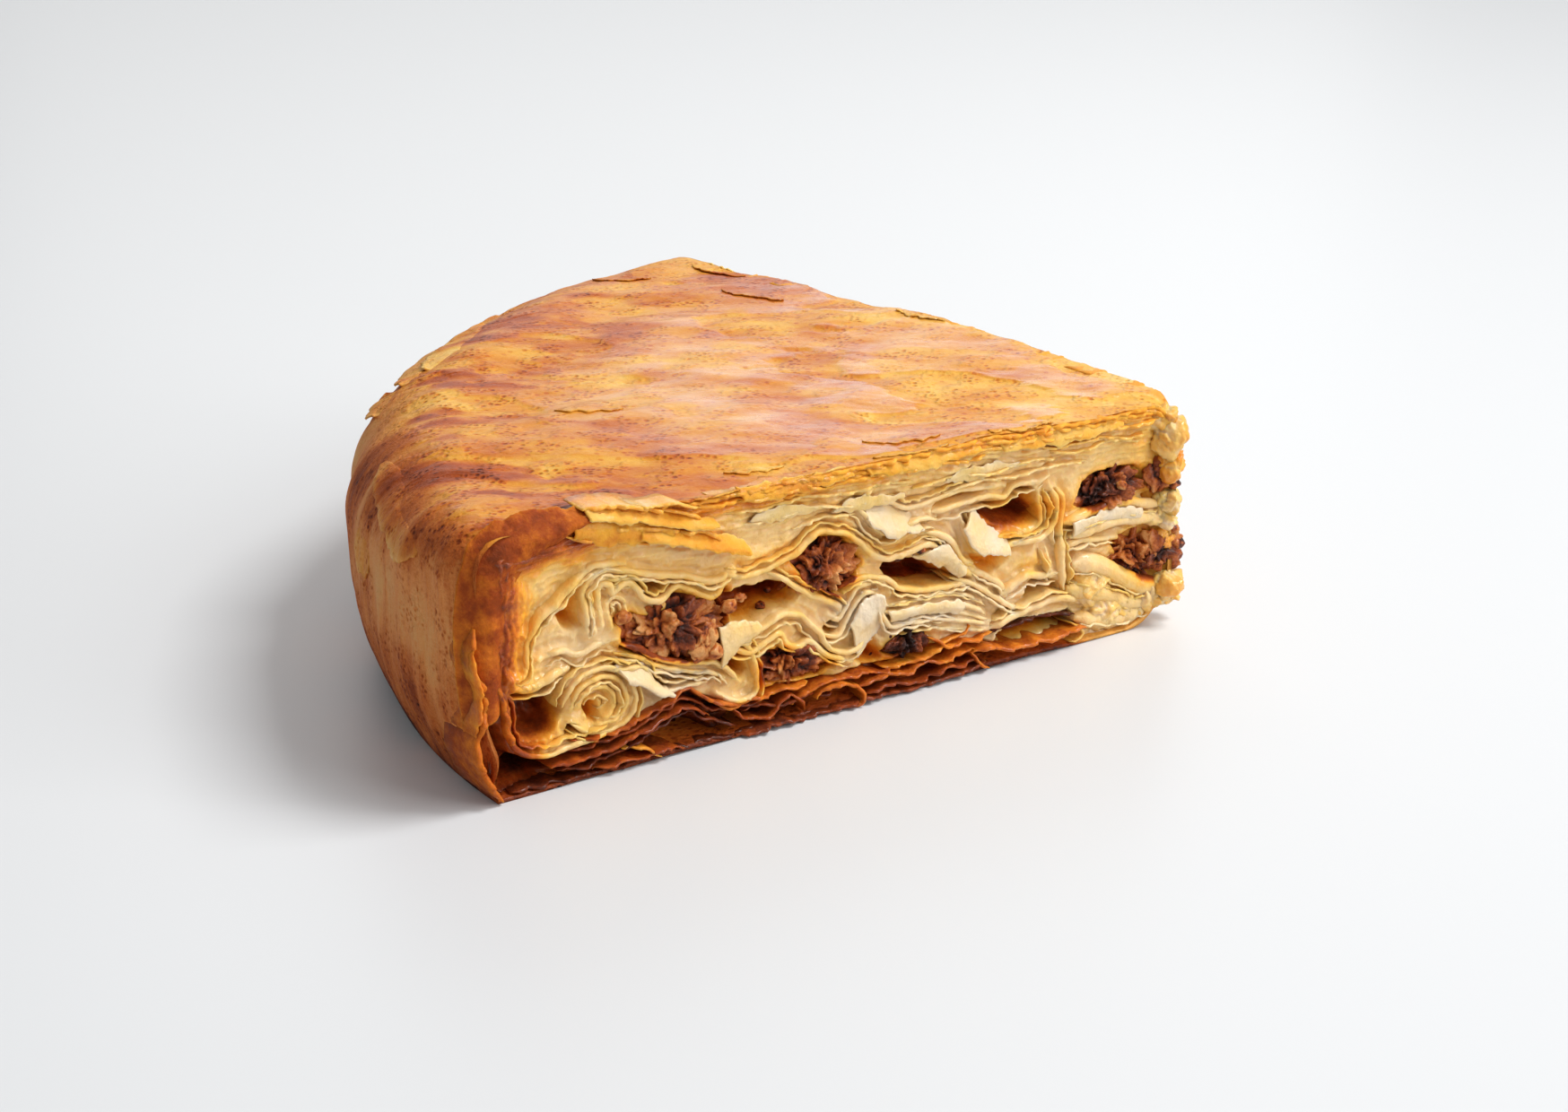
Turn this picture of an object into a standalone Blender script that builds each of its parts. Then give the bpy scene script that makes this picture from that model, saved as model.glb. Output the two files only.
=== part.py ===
"""One wedge of a round meat burek, lying on its base crust.

The pastry is one solid: a golden top, a rolled rim and a browned base, cut by
two faces that meet at the wedge's tip. Each cut shows thin sheets of dough
round hollows. The minced meat lies in bands that run through the slice, from
one cut to the other, each with a small clearance to the dough.

Lengths are metres with +Z up. A point on a cut is given in millimetres as
(u, z): u is the distance from the tip along the cut, z the height.
"""

import math

import bmesh
import bpy
from mathutils import Matrix, Vector, noise

# Driving dimensions
MM = 0.001
PIE_RADIUS = 150.0 * MM
WEDGE_ANGLE = math.radians(82.0)
RIM_HEIGHT = 45.3 * MM
TIP_HEIGHT = 42.6 * MM
BASE_INSET = 6.0 * MM
BELLY_SHARE = 0.42
SHOULDER_FRONT = 9.0 * MM
SHOULDER_INSIDE = 20.0 * MM
SHOULDER_BLEND = math.radians(25.0)

# Place of the wedge's tip in the part's frame
TIP_PLACE = Vector((74.4 * MM, -72.4 * MM, 0.0))

# Welding distance for shared corners
WELD = 0.01 * MM

# Steps of the turned crust
ARC_STEPS = 36
TOP_STEPS = 8
SHOULDER_STEPS = 5
WALL_STEPS = 6

# Uneven baking: the top puffs up towards the back cut, near the tip
PUFF = 2.2 * MM
PUFF_PLACE = 52.0 * MM
PUFF_REACH = 48.0 * MM
TOP_SWELL = 1.1 * MM
TOP_SWELL_LENGTH = 26.0 * MM
RIM_WRINKLE = 0.9 * MM
RIM_WRINKLE_LENGTH = 11.0 * MM
RIM_WRINKLE_HEIGHT = 40.0 * MM
FOOT_HEIGHT = 8.0 * MM

# Cut faces
RECESS_DEPTH = 2.6
CLEARANCE = 0.4 * MM
BACK_WARP = 2.2
BACK_WARP_LENGTH = 17.0
EDGE_RAGGED = 0.5 * MM
EDGE_RAGGED_LENGTH = 6.0 * MM
LOWEST_WARPED = 1.6

# Outline inside the crust, from the rim's foot up, along the top and back
RECESS = [
    (143.2, 1.2), (146.6, 9.0), (145.2, 13.5), (141.0, 18.0), (138.6, 25.0),
    (134.5, 29.6), (129.5, 32.6), (123.5, 36.4), (114.0, 34.4), (104.0, 31.4),
    (96.0, 30.8), (88.0, 30.6), (81.0, 33.0), (73.0, 33.0), (66.0, 36.6),
    (56.0, 34.2), (46.0, 33.2), (34.0, 33.6), (24.0, 33.4), (12.0, 34.6),
    (2.0, 33.2), (-7.0, 33.0), (-7.0, 1.2),
]

# Hollows between the sheets: depth and outline
HOLLOWS = {
    "foot": (12.0, [(143.4, 2.0), (146.2, 8.8), (145.0, 13.2), (142.9, 9.4), (139.2, 6.0),
                    (131.5, 4.6), (124.0, 4.4), (125.5, 1.9), (137.0, 1.7)]),
    "rim_fold": (8.0, [(140.6, 17.2), (131.0, 17.8), (130.4, 12.6), (132.0, 9.6),
                       (138.6, 9.6), (140.4, 13.2)]),
    "corner": (6.0, [(131.9, 29.6), (127.9, 33.2), (127.9, 29.6), (127.2, 26.3), (129.8, 26.2)]),
    "lens": (5.5, [(122.6, 32.4), (118.6, 32.4), (112.5, 30.6), (111.0, 28.9), (117.0, 30.0),
                   (120.0, 30.6)]),
    "roll": (5.0, [(127.0, 12.9), (123.6, 12.6), (123.0, 9.9), (126.4, 9.6)]),
    "middle": (10.0, [(97.6, 19.8), (97.4, 25.4), (90.0, 25.4), (83.8, 24.0), (84.6, 20.6),
                      (89.0, 20.4), (93.0, 19.4)]),
    "middle_low": (7.0, [(99.4, 16.0), (96.4, 17.2), (94.9, 13.8), (95.6, 9.2), (99.0, 11.0)]),
    "long": (12.0, [(65.6, 22.9), (60.4, 23.8), (56.1, 24.0), (52.8, 20.8), (47.2, 17.6),
                    (51.0, 18.0), (58.0, 18.2), (62.6, 19.4)]),
    "petal": (4.0, [(65.0, 31.6), (61.0, 32.8), (57.4, 32.4), (60.0, 31.2)]),
    "tip_high": (8.0, [(47.4, 30.4), (40.2, 30.6), (33.0, 31.0), (28.8, 27.8), (29.6, 23.6),
                       (36.0, 22.9), (43.0, 23.2), (47.2, 26.0)]),
    "tip_low": (6.0, [(34.2, 11.6), (32.0, 14.2), (28.2, 13.2), (26.2, 11.2), (31.0, 10.4)]),
    "crease_high": (1.5, [(120.0, 39.4), (100.0, 39.5), (78.0, 39.9), (50.0, 39.3), (20.0, 38.6),
                          (22.0, 37.8), (50.0, 38.5), (78.0, 39.1), (100.0, 38.6)]),
    "crease_low": (1.3, [(112.0, 36.0), (92.0, 35.4), (70.0, 37.3), (44.0, 36.4), (44.0, 35.7),
                         (70.0, 36.5), (92.0, 34.6)]),
    "gap_rim": (6.0, [(116.4, 2.0), (111.0, 5.4), (106.4, 6.2), (106.0, 2.0)]),
    "gap_middle": (6.0, [(95.6, 2.0), (93.0, 4.6), (86.0, 4.9), (82.0, 2.0)]),
    "gap_tip": (7.0, [(41.0, 3.6), (38.0, 6.0), (30.0, 6.2), (23.0, 5.6), (24.0, 3.2), (33.0, 4.0)]),
}

# Sheets of dough seen edge on: thickness, depth and path
SHEETS = {
    "flap": (1.5, 9.0, [(151.6, 27.4), (149.6, 25.0), (147.4, 21.6), (147.0, 17.6), (148.9, 12.4),
                        (148.1, 7.6), (145.4, 3.4), (143.4, 0.9)]),
    "rim_turn": (1.4, 9.0, [(141.0, 19.0), (141.9, 13.6), (140.6, 8.8), (135.0, 5.9), (129.0, 6.7),
                            (121.0, 7.0)]),
    "fold_outer": (1.4, 7.0, [(126.2, 24.0), (127.2, 31.0), (122.9, 35.2), (116.5, 33.2),
                              (110.0, 31.2), (103.7, 28.6), (97.4, 29.2)]),
    "fold_inner": (1.3, 7.0, [(123.6, 25.0), (124.4, 31.0), (120.6, 32.0), (115.3, 28.4),
                              (110.0, 28.8), (102.0, 26.4), (96.4, 28.2)]),
    "roll_outer": (1.5, 7.0, [(129.6, 13.6), (127.4, 17.6), (121.4, 18.0), (117.8, 13.4),
                              (119.4, 8.4), (124.0, 7.4), (129.6, 9.6)]),
    "roll_inner": (1.2, 6.0, [(127.6, 14.6), (123.4, 15.8), (120.6, 12.2), (122.2, 9.4)]),
    "grey_low": (1.3, 7.0, [(123.4, 20.0), (117.0, 18.0), (113.8, 13.6), (108.0, 11.2),
                            (103.0, 10.4)]),
    "grey_high": (1.3, 7.0, [(120.4, 21.6), (115.2, 19.6), (110.0, 15.6), (103.0, 13.6),
                             (97.0, 9.6)]),
    "hook": (1.3, 8.0, [(99.0, 18.4), (95.0, 16.0), (93.0, 11.0), (94.0, 6.6), (99.0, 7.4)]),
    "wave_low": (1.3, 8.0, [(100.6, 17.4), (94.9, 14.6), (89.6, 16.4), (85.6, 13.4), (81.0, 13.0),
                            (77.0, 9.4), (72.0, 7.6)]),
    "wave_high": (1.3, 8.0, [(98.4, 25.6), (95.0, 20.2), (89.0, 19.4), (83.0, 17.6), (79.0, 12.8),
                             (74.0, 9.9), (70.0, 12.4)]),
    "s_fold": (1.3, 7.0, [(79.6, 14.6), (75.4, 14.4), (72.2, 19.2), (68.6, 19.0), (66.0, 13.6),
                          (60.0, 12.2)]),
    "roof": (1.4, 8.0, [(99.0, 28.4), (92.0, 27.6), (86.4, 29.6), (80.6, 32.4), (74.6, 31.8),
                        (70.0, 28.2), (64.6, 25.6), (57.0, 25.8), (51.6, 22.4), (46.0, 18.6)]),
    "slit": (1.4, 8.0, [(78.0, 18.2), (72.0, 22.4), (67.0, 21.0), (63.0, 17.4), (56.0, 16.6),
                        (49.0, 16.8)]),
    "bundle_high": (1.2, 6.0, [(67.4, 15.6), (61.0, 15.2), (54.0, 13.4), (48.0, 11.6), (42.0, 8.6)]),
    "bundle_low": (1.2, 6.0, [(64.0, 12.2), (58.0, 11.4), (52.0, 10.2), (44.0, 7.2)]),
    "bundle_tip": (1.2, 6.0, [(51.0, 15.8), (45.0, 14.6), (40.0, 11.4), (35.0, 9.4)]),
    "petal": (1.8, 6.0, [(73.4, 36.4), (69.2, 31.2), (64.0, 30.0), (58.0, 31.2), (52.0, 28.4)]),
    "tip_roof": (1.4, 7.0, [(51.0, 31.6), (42.0, 32.0), (33.0, 32.4), (25.0, 30.6)]),
    "tip_floor": (1.6, 7.0, [(49.0, 28.0), (46.0, 22.6), (40.0, 21.8), (32.0, 21.6), (28.2, 24.0),
                             (26.6, 30.0)]),
    "drip": (1.4, 6.0, [(27.0, 21.6), (26.4, 16.0), (24.6, 9.6)]),
    "low_roof": (1.4, 6.0, [(38.6, 11.6), (34.4, 15.6), (28.0, 14.8), (21.0, 16.8)]),
    "low_floor": (1.8, 6.0, [(37.0, 8.8), (29.4, 9.2), (21.0, 7.8)]),
    "tip_fold_high": (1.4, 6.0, [(25.0, 23.4), (16.0, 23.6), (8.0, 23.2), (-1.6, 24.0)]),
    "tip_fold_low": (1.4, 6.0, [(24.0, 20.6), (15.0, 21.2), (6.0, 21.6), (-2.4, 20.6)]),
    "lobe": (2.4, 6.0, [(24.0, 18.6), (17.0, 15.2), (11.0, 12.2), (4.0, 7.4), (-3.2, 4.2)]),
    "lobe_foot": (2.0, 6.0, [(23.0, 4.6), (15.0, 3.4), (7.0, 4.6), (-2.2, 2.6)]),
    "crust_flaky": (1.2, 7.0, [(129.0, 5.6), (120.0, 6.6), (113.0, 8.6), (107.0, 9.8),
                               (102.4, 7.0), (96.0, 5.6), (88.0, 6.6), (79.0, 5.4), (69.0, 5.9),
                               (59.0, 4.4), (50.0, 5.8), (41.0, 7.2), (31.0, 7.6), (23.0, 6.8)]),
    "crust_middle": (1.2, 7.0, [(128.0, 2.4), (119.0, 3.4), (112.0, 6.2), (106.0, 6.6),
                                (100.0, 4.0), (94.0, 2.0)]),
    "crust_low": (1.2, 7.0, [(84.0, 2.2), (74.0, 3.6), (62.0, 2.4), (50.0, 3.2), (42.0, 2.0)]),
}

# Sheets and hollows that the back cut repeats, bent another way
BACK_SHEETS = [
    "fold_outer", "roll_outer", "grey_high", "wave_low", "roof", "slit", "bundle_high",
    "tip_floor", "tip_roof", "lobe", "crust_flaky",
]
BACK_HOLLOWS = ["foot", "rim_fold", "middle", "long", "tip_high", "gap_middle"]

# Bands of minced meat: distance from the tip and height of the middle, half
# width and half height of the pocket at the cut, all in millimetres
MEAT = {
    "meat_rim": (109.0, 21.6, 10.2, 5.4),
    "meat_middle": (78.4, 25.8, 6.9, 5.0),
    "meat_base": (85.0, 10.2, 7.6, 3.2),
    "meat_dark": (60.6, 8.3, 4.9, 2.3),
    "meat_tip_high": (14.6, 27.8, 8.4, 3.6),
    "meat_tip_low": (7.6, 13.6, 6.6, 4.6),
}
MOUTH_DEPTH = 6.6

# The band inside its pocket, its lumps and the length of its straight steps
BAND_SHARE = 0.62
BAND_LUMPS = 0.12
BAND_STEP = 13.0
STEEPEST_SINE = 0.6
TUNNEL_REACH = 7.0 * MM

# Grains of meat at a cut: sizes, area of the pocket for each, gap to its edge
GRAIN_SIZES = (1.5, 2.5)
GRAIN_AREA = 6.5
GRAIN_EDGE = 0.55
GRAIN_DEPTH = 2.3
GRAIN_STAGGER = 0.9
GRAIN_UNEVEN = 0.2
GRAIN_UNEVEN_LENGTH = 2.1 * MM

# Grains that hang out past the tip: u, height and radius
TIP_GRAINS = [(1.2, 14.6, 2.6), (-1.4, 12.2, 2.0), (-2.2, 10.2, 1.4)]

# Flakes of crust that lift off the outside: place along the arc in degrees,
# height of foot and free edge, half width along the arc and lift of the free
# edge, all lengths in millimetres
RIM_FLAKE_THICKNESS = 1.0
RIM_FLAKE_SUNK = 0.5
RIM_FLAKE_TAPER = 0.35
RIM_FLAKES = {
    "crest": (50.0, 35.5, 43.0, 27.0, 1.2),
    "notch": (37.6, 33.5, 39.5, 4.5, 1.7),
    "edge": (15.0, 36.0, 42.6, 12.0, 0.9),
    "slit": (18.5, 26.5, 35.0, 3.4, 1.0),
    "back": (67.0, 36.0, 42.6, 9.0, 1.3),
    "low": (48.0, 9.0, 17.0, 5.5, 1.0),
}

# Long flakes along the top of the front cut: thickness, reach in front of the
# cut and behind it, and path
TOP_FLAKES = {
    "spear": (0.9, -1.0, 9.0, [(127.0, 46.6), (120.0, 45.4), (112.0, 43.2), (104.6, 40.6)]),
    "under": (0.8, -0.9, 5.0, [(123.0, 41.8), (113.0, 40.2), (104.0, 37.4), (98.2, 34.2)]),
    "corner": (1.2, -0.6, 8.0, [(150.4, 33.0), (149.8, 38.6), (146.6, 43.4), (140.6, 46.0),
                                (133.0, 46.2), (127.4, 44.8)]),
    "lip": (0.9, -0.8, 5.0, [(100.0, 40.6), (84.0, 41.4), (66.0, 40.2), (48.0, 40.8), (30.0, 39.8),
                             (14.0, 40.2), (1.0, 39.4)]),
}


def direction(angle):
    """Unit vector from the tip at an angle from the front cut."""
    return Vector((-math.cos(angle), math.sin(angle), 0.0))


def face_frame(face):
    """Frame of a cut face: -X along the cut from the tip, +Y into the slice."""
    if face == "front":
        return Matrix.Identity(4)
    along = -direction(WEDGE_ANGLE)
    inward = Vector((-math.sin(WEDGE_ANGLE), -math.cos(WEDGE_ANGLE), 0.0))
    return Matrix((along, inward, Vector((0.0, 0.0, 1.0)))).transposed().to_4x4()


def smooth_step(value):
    """Ease from 0 to 1."""
    value = min(max(value, 0.0), 1.0)
    return value * value * (3.0 - 2.0 * value)


def warp(points, face):
    """Points of a cut, bent by smooth noise where they belong to the back cut."""
    if face == "front":
        return points
    bent = []
    for u, z in points:
        place = Vector((u, z, 40.0)) / BACK_WARP_LENGTH
        du = BACK_WARP * noise.noise(place)
        dz = BACK_WARP * noise.noise(place + Vector((9.0, 4.0, 2.0)))
        bent.append((u + du, max(z + dz, LOWEST_WARPED)))
    return bent


def clear_scene():
    """Remove every object, so that the script can be run again."""
    for item in list(bpy.data.objects):
        bpy.data.objects.remove(item, do_unlink=True)


def new_collection(name, hidden=False):
    """Collection linked to the scene."""
    made = bpy.data.collections.new(name)
    bpy.context.scene.collection.children.link(made)
    made.hide_render = hidden
    return made


def new_object(name, mesh, collection):
    """Object for a mesh, linked to a collection."""
    item = bpy.data.objects.new(name, mesh)
    collection.objects.link(item)
    return item


def finish_mesh(mesh, matrix=None):
    """Move a mesh, weld its caps and turn its faces outwards."""
    bm = bmesh.new()
    bm.from_mesh(mesh)
    if matrix is not None:
        bmesh.ops.transform(bm, matrix=matrix, verts=bm.verts)
    bmesh.ops.remove_doubles(bm, verts=bm.verts, dist=WELD)
    bmesh.ops.recalc_face_normals(bm, faces=bm.faces)
    bm.to_mesh(mesh)
    bm.free()


def mesh_from_curve(name, curve, collection, matrix, thickness=0.0):
    """Mesh object of a curve, thickened where it is an open sheet."""
    item = new_object(name, curve, collection)
    if thickness:
        solid = item.modifiers.new("Thickness", "SOLIDIFY")
        solid.thickness = thickness
        solid.offset = 0.0
    bpy.context.view_layer.update()
    evaluated = item.evaluated_get(bpy.context.evaluated_depsgraph_get())
    mesh = bpy.data.meshes.new_from_object(evaluated)
    bpy.data.objects.remove(item, do_unlink=True)
    bpy.data.curves.remove(curve)
    finish_mesh(mesh, matrix)
    made = new_object(name, mesh, collection)
    made.hide_render = True
    made.display_type = "WIRE"
    return made


def face_curve(name, points, closed, depth, resolution):
    """Smooth curve in the plane of a cut, spread to a depth across it."""
    curve = bpy.data.curves.new(name, "CURVE")
    curve.dimensions = "2D"
    curve.fill_mode = "BOTH" if closed else "NONE"
    curve.resolution_u = resolution
    curve.extrude = depth * MM / 2.0
    spline = curve.splines.new("BEZIER")
    spline.bezier_points.add(len(points) - 1)
    spline.use_cyclic_u = closed
    for knot, (u, z) in zip(spline.bezier_points, points):
        knot.co = (-u * MM, z * MM, 0.0)
        knot.handle_left_type = "AUTO"
        knot.handle_right_type = "AUTO"
    return curve


def face_matrix(face, near, far):
    """Matrix that stands a curve on a cut, from a near to a far depth."""
    upright = Matrix.Rotation(math.radians(90.0), 4, "X")
    middle = Matrix.Translation((0.0, (near + far) * MM / 2.0, 0.0))
    return face_frame(face) @ middle @ upright


def block(name, points, near, far, face, collection):
    """Solid with a closed outline on a cut, between two depths."""
    curve = face_curve(name, points, True, far - near, 1)
    return mesh_from_curve(name, curve, collection, face_matrix(face, near, far))


def sheet(name, points, thickness, near, far, face, collection):
    """Sheet of dough that runs into the slice along a path on a cut."""
    curve = face_curve(name, points, False, far - near, 2)
    matrix = face_matrix(face, near, far)
    made = mesh_from_curve(name, curve, collection, matrix, thickness * MM)
    inward = (face_frame(face) @ Vector((0.0, 1.0, 0.0, 0.0))).to_3d()
    for vertex in made.data.vertices:
        if vertex.co.dot(inward) < (near + far) * MM / 2.0:
            ragged = noise.noise(vertex.co / EDGE_RAGGED_LENGTH)
            vertex.co += inward * ragged * EDGE_RAGGED
    return made


def join(target, tools, operation):
    """Apply one Boolean of a collection to an object and remove the tools."""
    cut = target.modifiers.new(operation.title(), "BOOLEAN")
    cut.operation = operation
    cut.operand_type = "COLLECTION"
    cut.collection = tools
    cut.solver = "EXACT"
    bpy.context.view_layer.update()
    evaluated = target.evaluated_get(bpy.context.evaluated_depsgraph_get())
    mesh = bpy.data.meshes.new_from_object(evaluated)
    target.modifiers.clear()
    target.data = mesh
    for item in list(tools.objects):
        bpy.data.objects.remove(item, do_unlink=True)
    bpy.data.collections.remove(tools)


def keep_largest(item):
    """Drop loose scraps, keeping the connected body with the most faces."""
    bm = bmesh.new()
    bm.from_mesh(item.data)
    unseen = set(bm.verts)
    bodies = []
    while unseen:
        front = [unseen.pop()]
        body = set(front)
        while front:
            vertex = front.pop()
            for edge in vertex.link_edges:
                other = edge.other_vert(vertex)
                if other in unseen:
                    unseen.remove(other)
                    body.add(other)
                    front.append(other)
        bodies.append(body)
    bodies.sort(key=len, reverse=True)
    scraps = [vertex for body in bodies[1:] for vertex in body]
    bmesh.ops.delete(bm, geom=scraps, context="VERTS")
    bm.to_mesh(item.data)
    bm.free()


def shoulder_at(angle):
    """Radius of the rolled shoulder, tighter near the front cut."""
    from_cut = smooth_step(angle / SHOULDER_BLEND)
    return SHOULDER_FRONT + (SHOULDER_INSIDE - SHOULDER_FRONT) * from_cut


def puff(radius, angle):
    """Extra height of the top near the back cut, a round swelling by the tip."""
    away = (radius - PUFF_PLACE) / PUFF_REACH
    return PUFF * smooth_step(angle / WEDGE_ANGLE) * math.exp(-away * away)


def swell(radius, height, angle):
    """Radius and height of a point of the crust after uneven baking."""
    spot = direction(angle) * radius
    share = smooth_step(radius / (0.3 * PIE_RADIUS))
    lift = noise.noise(Vector((spot.x, spot.y * 1.7, 0.01)) / TOP_SWELL_LENGTH)
    upper = smooth_step(height / RIM_HEIGHT * 2.0 - 1.0)
    along = angle * PIE_RADIUS / RIM_WRINKLE_LENGTH
    push = noise.noise(Vector((along, height / RIM_WRINKLE_HEIGHT, 5.0)))
    low = smooth_step(height / FOOT_HEIGHT)
    outer = smooth_step(radius / PIE_RADIUS * 4.0 - 3.0)
    radius += RIM_WRINKLE * push * low * outer
    height += (TOP_SWELL * lift * share + puff(radius, angle)) * upper
    return radius, height


def section(angle):
    """Closed outline of the slice at an angle, from the tip's top round to its foot."""
    shoulder = shoulder_at(angle)
    inner = PIE_RADIUS - shoulder
    points = []
    for step in range(TOP_STEPS):
        radius = inner * step / TOP_STEPS
        points.append((radius, TIP_HEIGHT + (RIM_HEIGHT - TIP_HEIGHT) * radius / PIE_RADIUS))
    for step in range(SHOULDER_STEPS):
        turn = math.pi / 2.0 * step / SHOULDER_STEPS
        radius = inner + shoulder * math.sin(turn)
        points.append((radius, RIM_HEIGHT - 0.9 * shoulder * (1.0 - math.cos(turn))))
    top_of_wall = RIM_HEIGHT - 0.9 * shoulder
    belly = BELLY_SHARE * RIM_HEIGHT
    for step in range(WALL_STEPS + 1):
        height = top_of_wall * (1.0 - step / WALL_STEPS)
        tuck = max(0.0, 1.0 - height / belly)
        points.append((PIE_RADIUS - BASE_INSET * tuck ** 1.7, height))
    points.append((0.0, 0.0))
    outline = []
    for radius, height in points:
        radius, height = swell(radius, height, angle)
        outline.append(direction(angle) * max(radius, 0.0) + Vector((0.0, 0.0, height)))
    return outline


def crust_body(name, collection):
    """The slice before its cuts are carved: a loft between uneven sections."""
    bm = bmesh.new()
    rows = []
    for step in range(ARC_STEPS + 1):
        outline = section(WEDGE_ANGLE * step / ARC_STEPS)
        rows.append([bm.verts.new(point) for point in outline])
    count = len(rows[0])
    for near, far in zip(rows, rows[1:]):
        for start in range(count):
            end = (start + 1) % count
            bm.faces.new((near[start], near[end], far[end], far[start]))
    bm.faces.new(rows[0])
    bm.faces.new(rows[-1])
    bmesh.ops.remove_doubles(bm, verts=bm.verts, dist=WELD)
    bmesh.ops.recalc_face_normals(bm, faces=bm.faces)
    mesh = bpy.data.meshes.new(name)
    bm.to_mesh(mesh)
    bm.free()
    return new_object(name, mesh, collection)


def rim_flake(name, place, foot, top, half, lift, collection):
    """Curved scale of crust on the rim, its upper edge standing off."""
    bm = bmesh.new()
    grid = bmesh.ops.create_grid(bm, x_segments=5, y_segments=3, size=1.0)
    for vertex in grid["verts"]:
        across, rise = vertex.co.x, (vertex.co.y + 1.0) / 2.0
        width = half * MM * (1.0 - RIM_FLAKE_TAPER * rise)
        angle = math.radians(place) + across * width / PIE_RADIUS
        height = (foot + (top - foot) * rise) * MM
        shoulder = shoulder_at(angle)
        over = max(0.0, height - (RIM_HEIGHT - 0.9 * shoulder)) / (0.9 * shoulder)
        radius = PIE_RADIUS - shoulder * (1.0 - math.sqrt(max(0.0, 1.0 - over * over)))
        radius += MM * (lift * rise * (1.0 - 0.5 * across * across) - RIM_FLAKE_SUNK)
        vertex.co = direction(angle) * radius + Vector((0.0, 0.0, height))
    mesh = bpy.data.meshes.new(name)
    bm.to_mesh(mesh)
    bm.free()
    item = new_object(name, mesh, collection)
    solid = item.modifiers.new("Thickness", "SOLIDIFY")
    solid.thickness = RIM_FLAKE_THICKNESS * MM
    solid.offset = 0.0
    bpy.context.view_layer.update()
    evaluated = item.evaluated_get(bpy.context.evaluated_depsgraph_get())
    item.data = bpy.data.meshes.new_from_object(evaluated)
    item.modifiers.clear()
    finish_mesh(item.data)
    return item


def meat_band(name, distance, height, half_width, half_height, grow, collection):
    """Lumpy band of meat that turns about the tip from cut to cut.

    With grow at 1 it is the tunnel for that band: wider by the clearance and
    longer at both ends.
    """
    flat = half_height / half_width
    start = math.asin(min(RECESS_DEPTH / distance, STEEPEST_SINE))
    steps = max(5, int(distance * (WEDGE_ANGLE - 2.0 * start) / BAND_STEP))
    spots = []
    sizes = []
    for step in range(steps + 1):
        turn = start + (WEDGE_ANGLE - 2.0 * start) * step / steps
        lumpy = 1.0 + BAND_LUMPS * noise.noise(Vector((turn * 7.0, distance, 0.5)))
        spots.append(direction(turn) * distance * MM)
        sizes.append(half_width * BAND_SHARE * lumpy + grow * CLEARANCE / MM / flat)
    if grow:
        lead_in = (spots[0] - spots[1]).normalized() * TUNNEL_REACH
        lead_out = (spots[-1] - spots[-2]).normalized() * TUNNEL_REACH
        spots = [spots[0] + lead_in, *spots, spots[-1] + lead_out]
        sizes = [sizes[0], *sizes, sizes[-1]]
    curve = bpy.data.curves.new(name, "CURVE")
    curve.dimensions = "3D"
    curve.bevel_depth = MM
    curve.bevel_resolution = 1
    curve.use_fill_caps = True
    spline = curve.splines.new("POLY")
    spline.points.add(len(spots) - 1)
    for knot, spot, size in zip(spline.points, spots, sizes):
        knot.co = (spot.x, spot.y, 0.0, 1.0)
        knot.radius = size
    place = Matrix.Translation((0.0, 0.0, height * MM)) @ Matrix.Diagonal((1.0, 1.0, flat, 1.0))
    return mesh_from_curve(name, curve, collection, place)


def grain(name, u, depth, z, radius, face, collection):
    """Grain of minced meat, an uneven icosahedron."""
    bm = bmesh.new()
    bmesh.ops.create_icosphere(bm, subdivisions=1, radius=radius * MM)
    centre = Vector((-u, depth, z)) * MM
    for vertex in bm.verts:
        uneven = 1.0 + GRAIN_UNEVEN * noise.noise((vertex.co + centre) / GRAIN_UNEVEN_LENGTH)
        vertex.co = vertex.co * uneven + centre
    bmesh.ops.transform(bm, matrix=face_frame(face), verts=bm.verts)
    bmesh.ops.recalc_face_normals(bm, faces=bm.faces)
    mesh = bpy.data.meshes.new(name)
    bm.to_mesh(mesh)
    bm.free()
    return new_object(name, mesh, collection)


def meat_grains(name, distance, height, half_width, half_height, face, collection):
    """Grains packed over a pocket at a cut, spread by the golden angle."""
    count = max(4, round(half_width * half_height / GRAIN_AREA))
    golden = math.pi * (3.0 - math.sqrt(5.0))
    for index in range(count):
        share = math.sqrt((index + 0.5) / count)
        turn = index * golden + distance
        pick = 0.5 + 0.5 * noise.noise(Vector((index * 1.7, distance, height)))
        radius = GRAIN_SIZES[0] + (GRAIN_SIZES[1] - GRAIN_SIZES[0]) * pick
        radius = min(radius, 0.8 * half_height - GRAIN_EDGE)
        u = distance + share * math.cos(turn) * (half_width - GRAIN_EDGE - radius)
        z = height + share * math.sin(turn) * (half_height - GRAIN_EDGE - radius)
        depth = GRAIN_DEPTH + GRAIN_STAGGER * noise.noise(Vector((index * 2.3, height, distance)))
        grain(f"{name}_{face}_{index}", u, depth, z, radius, face, collection)


def oval(u, z, half_width, half_height, sides=8):
    """Points of an oval outline on a cut."""
    turns = [2.0 * math.pi * index / sides for index in range(sides)]
    return [(u + half_width * math.cos(turn), z + half_height * math.sin(turn)) for turn in turns]


def make_material(name, colour, roughness):
    """Principled material of a food surface."""
    made = bpy.data.materials.new(name)
    made.use_nodes = True
    shader = made.node_tree.nodes["Principled BSDF"]
    shader.inputs["Base Color"].default_value = (*colour, 1.0)
    shader.inputs["Roughness"].default_value = roughness
    shader.inputs["Metallic"].default_value = 0.0
    return made


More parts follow.
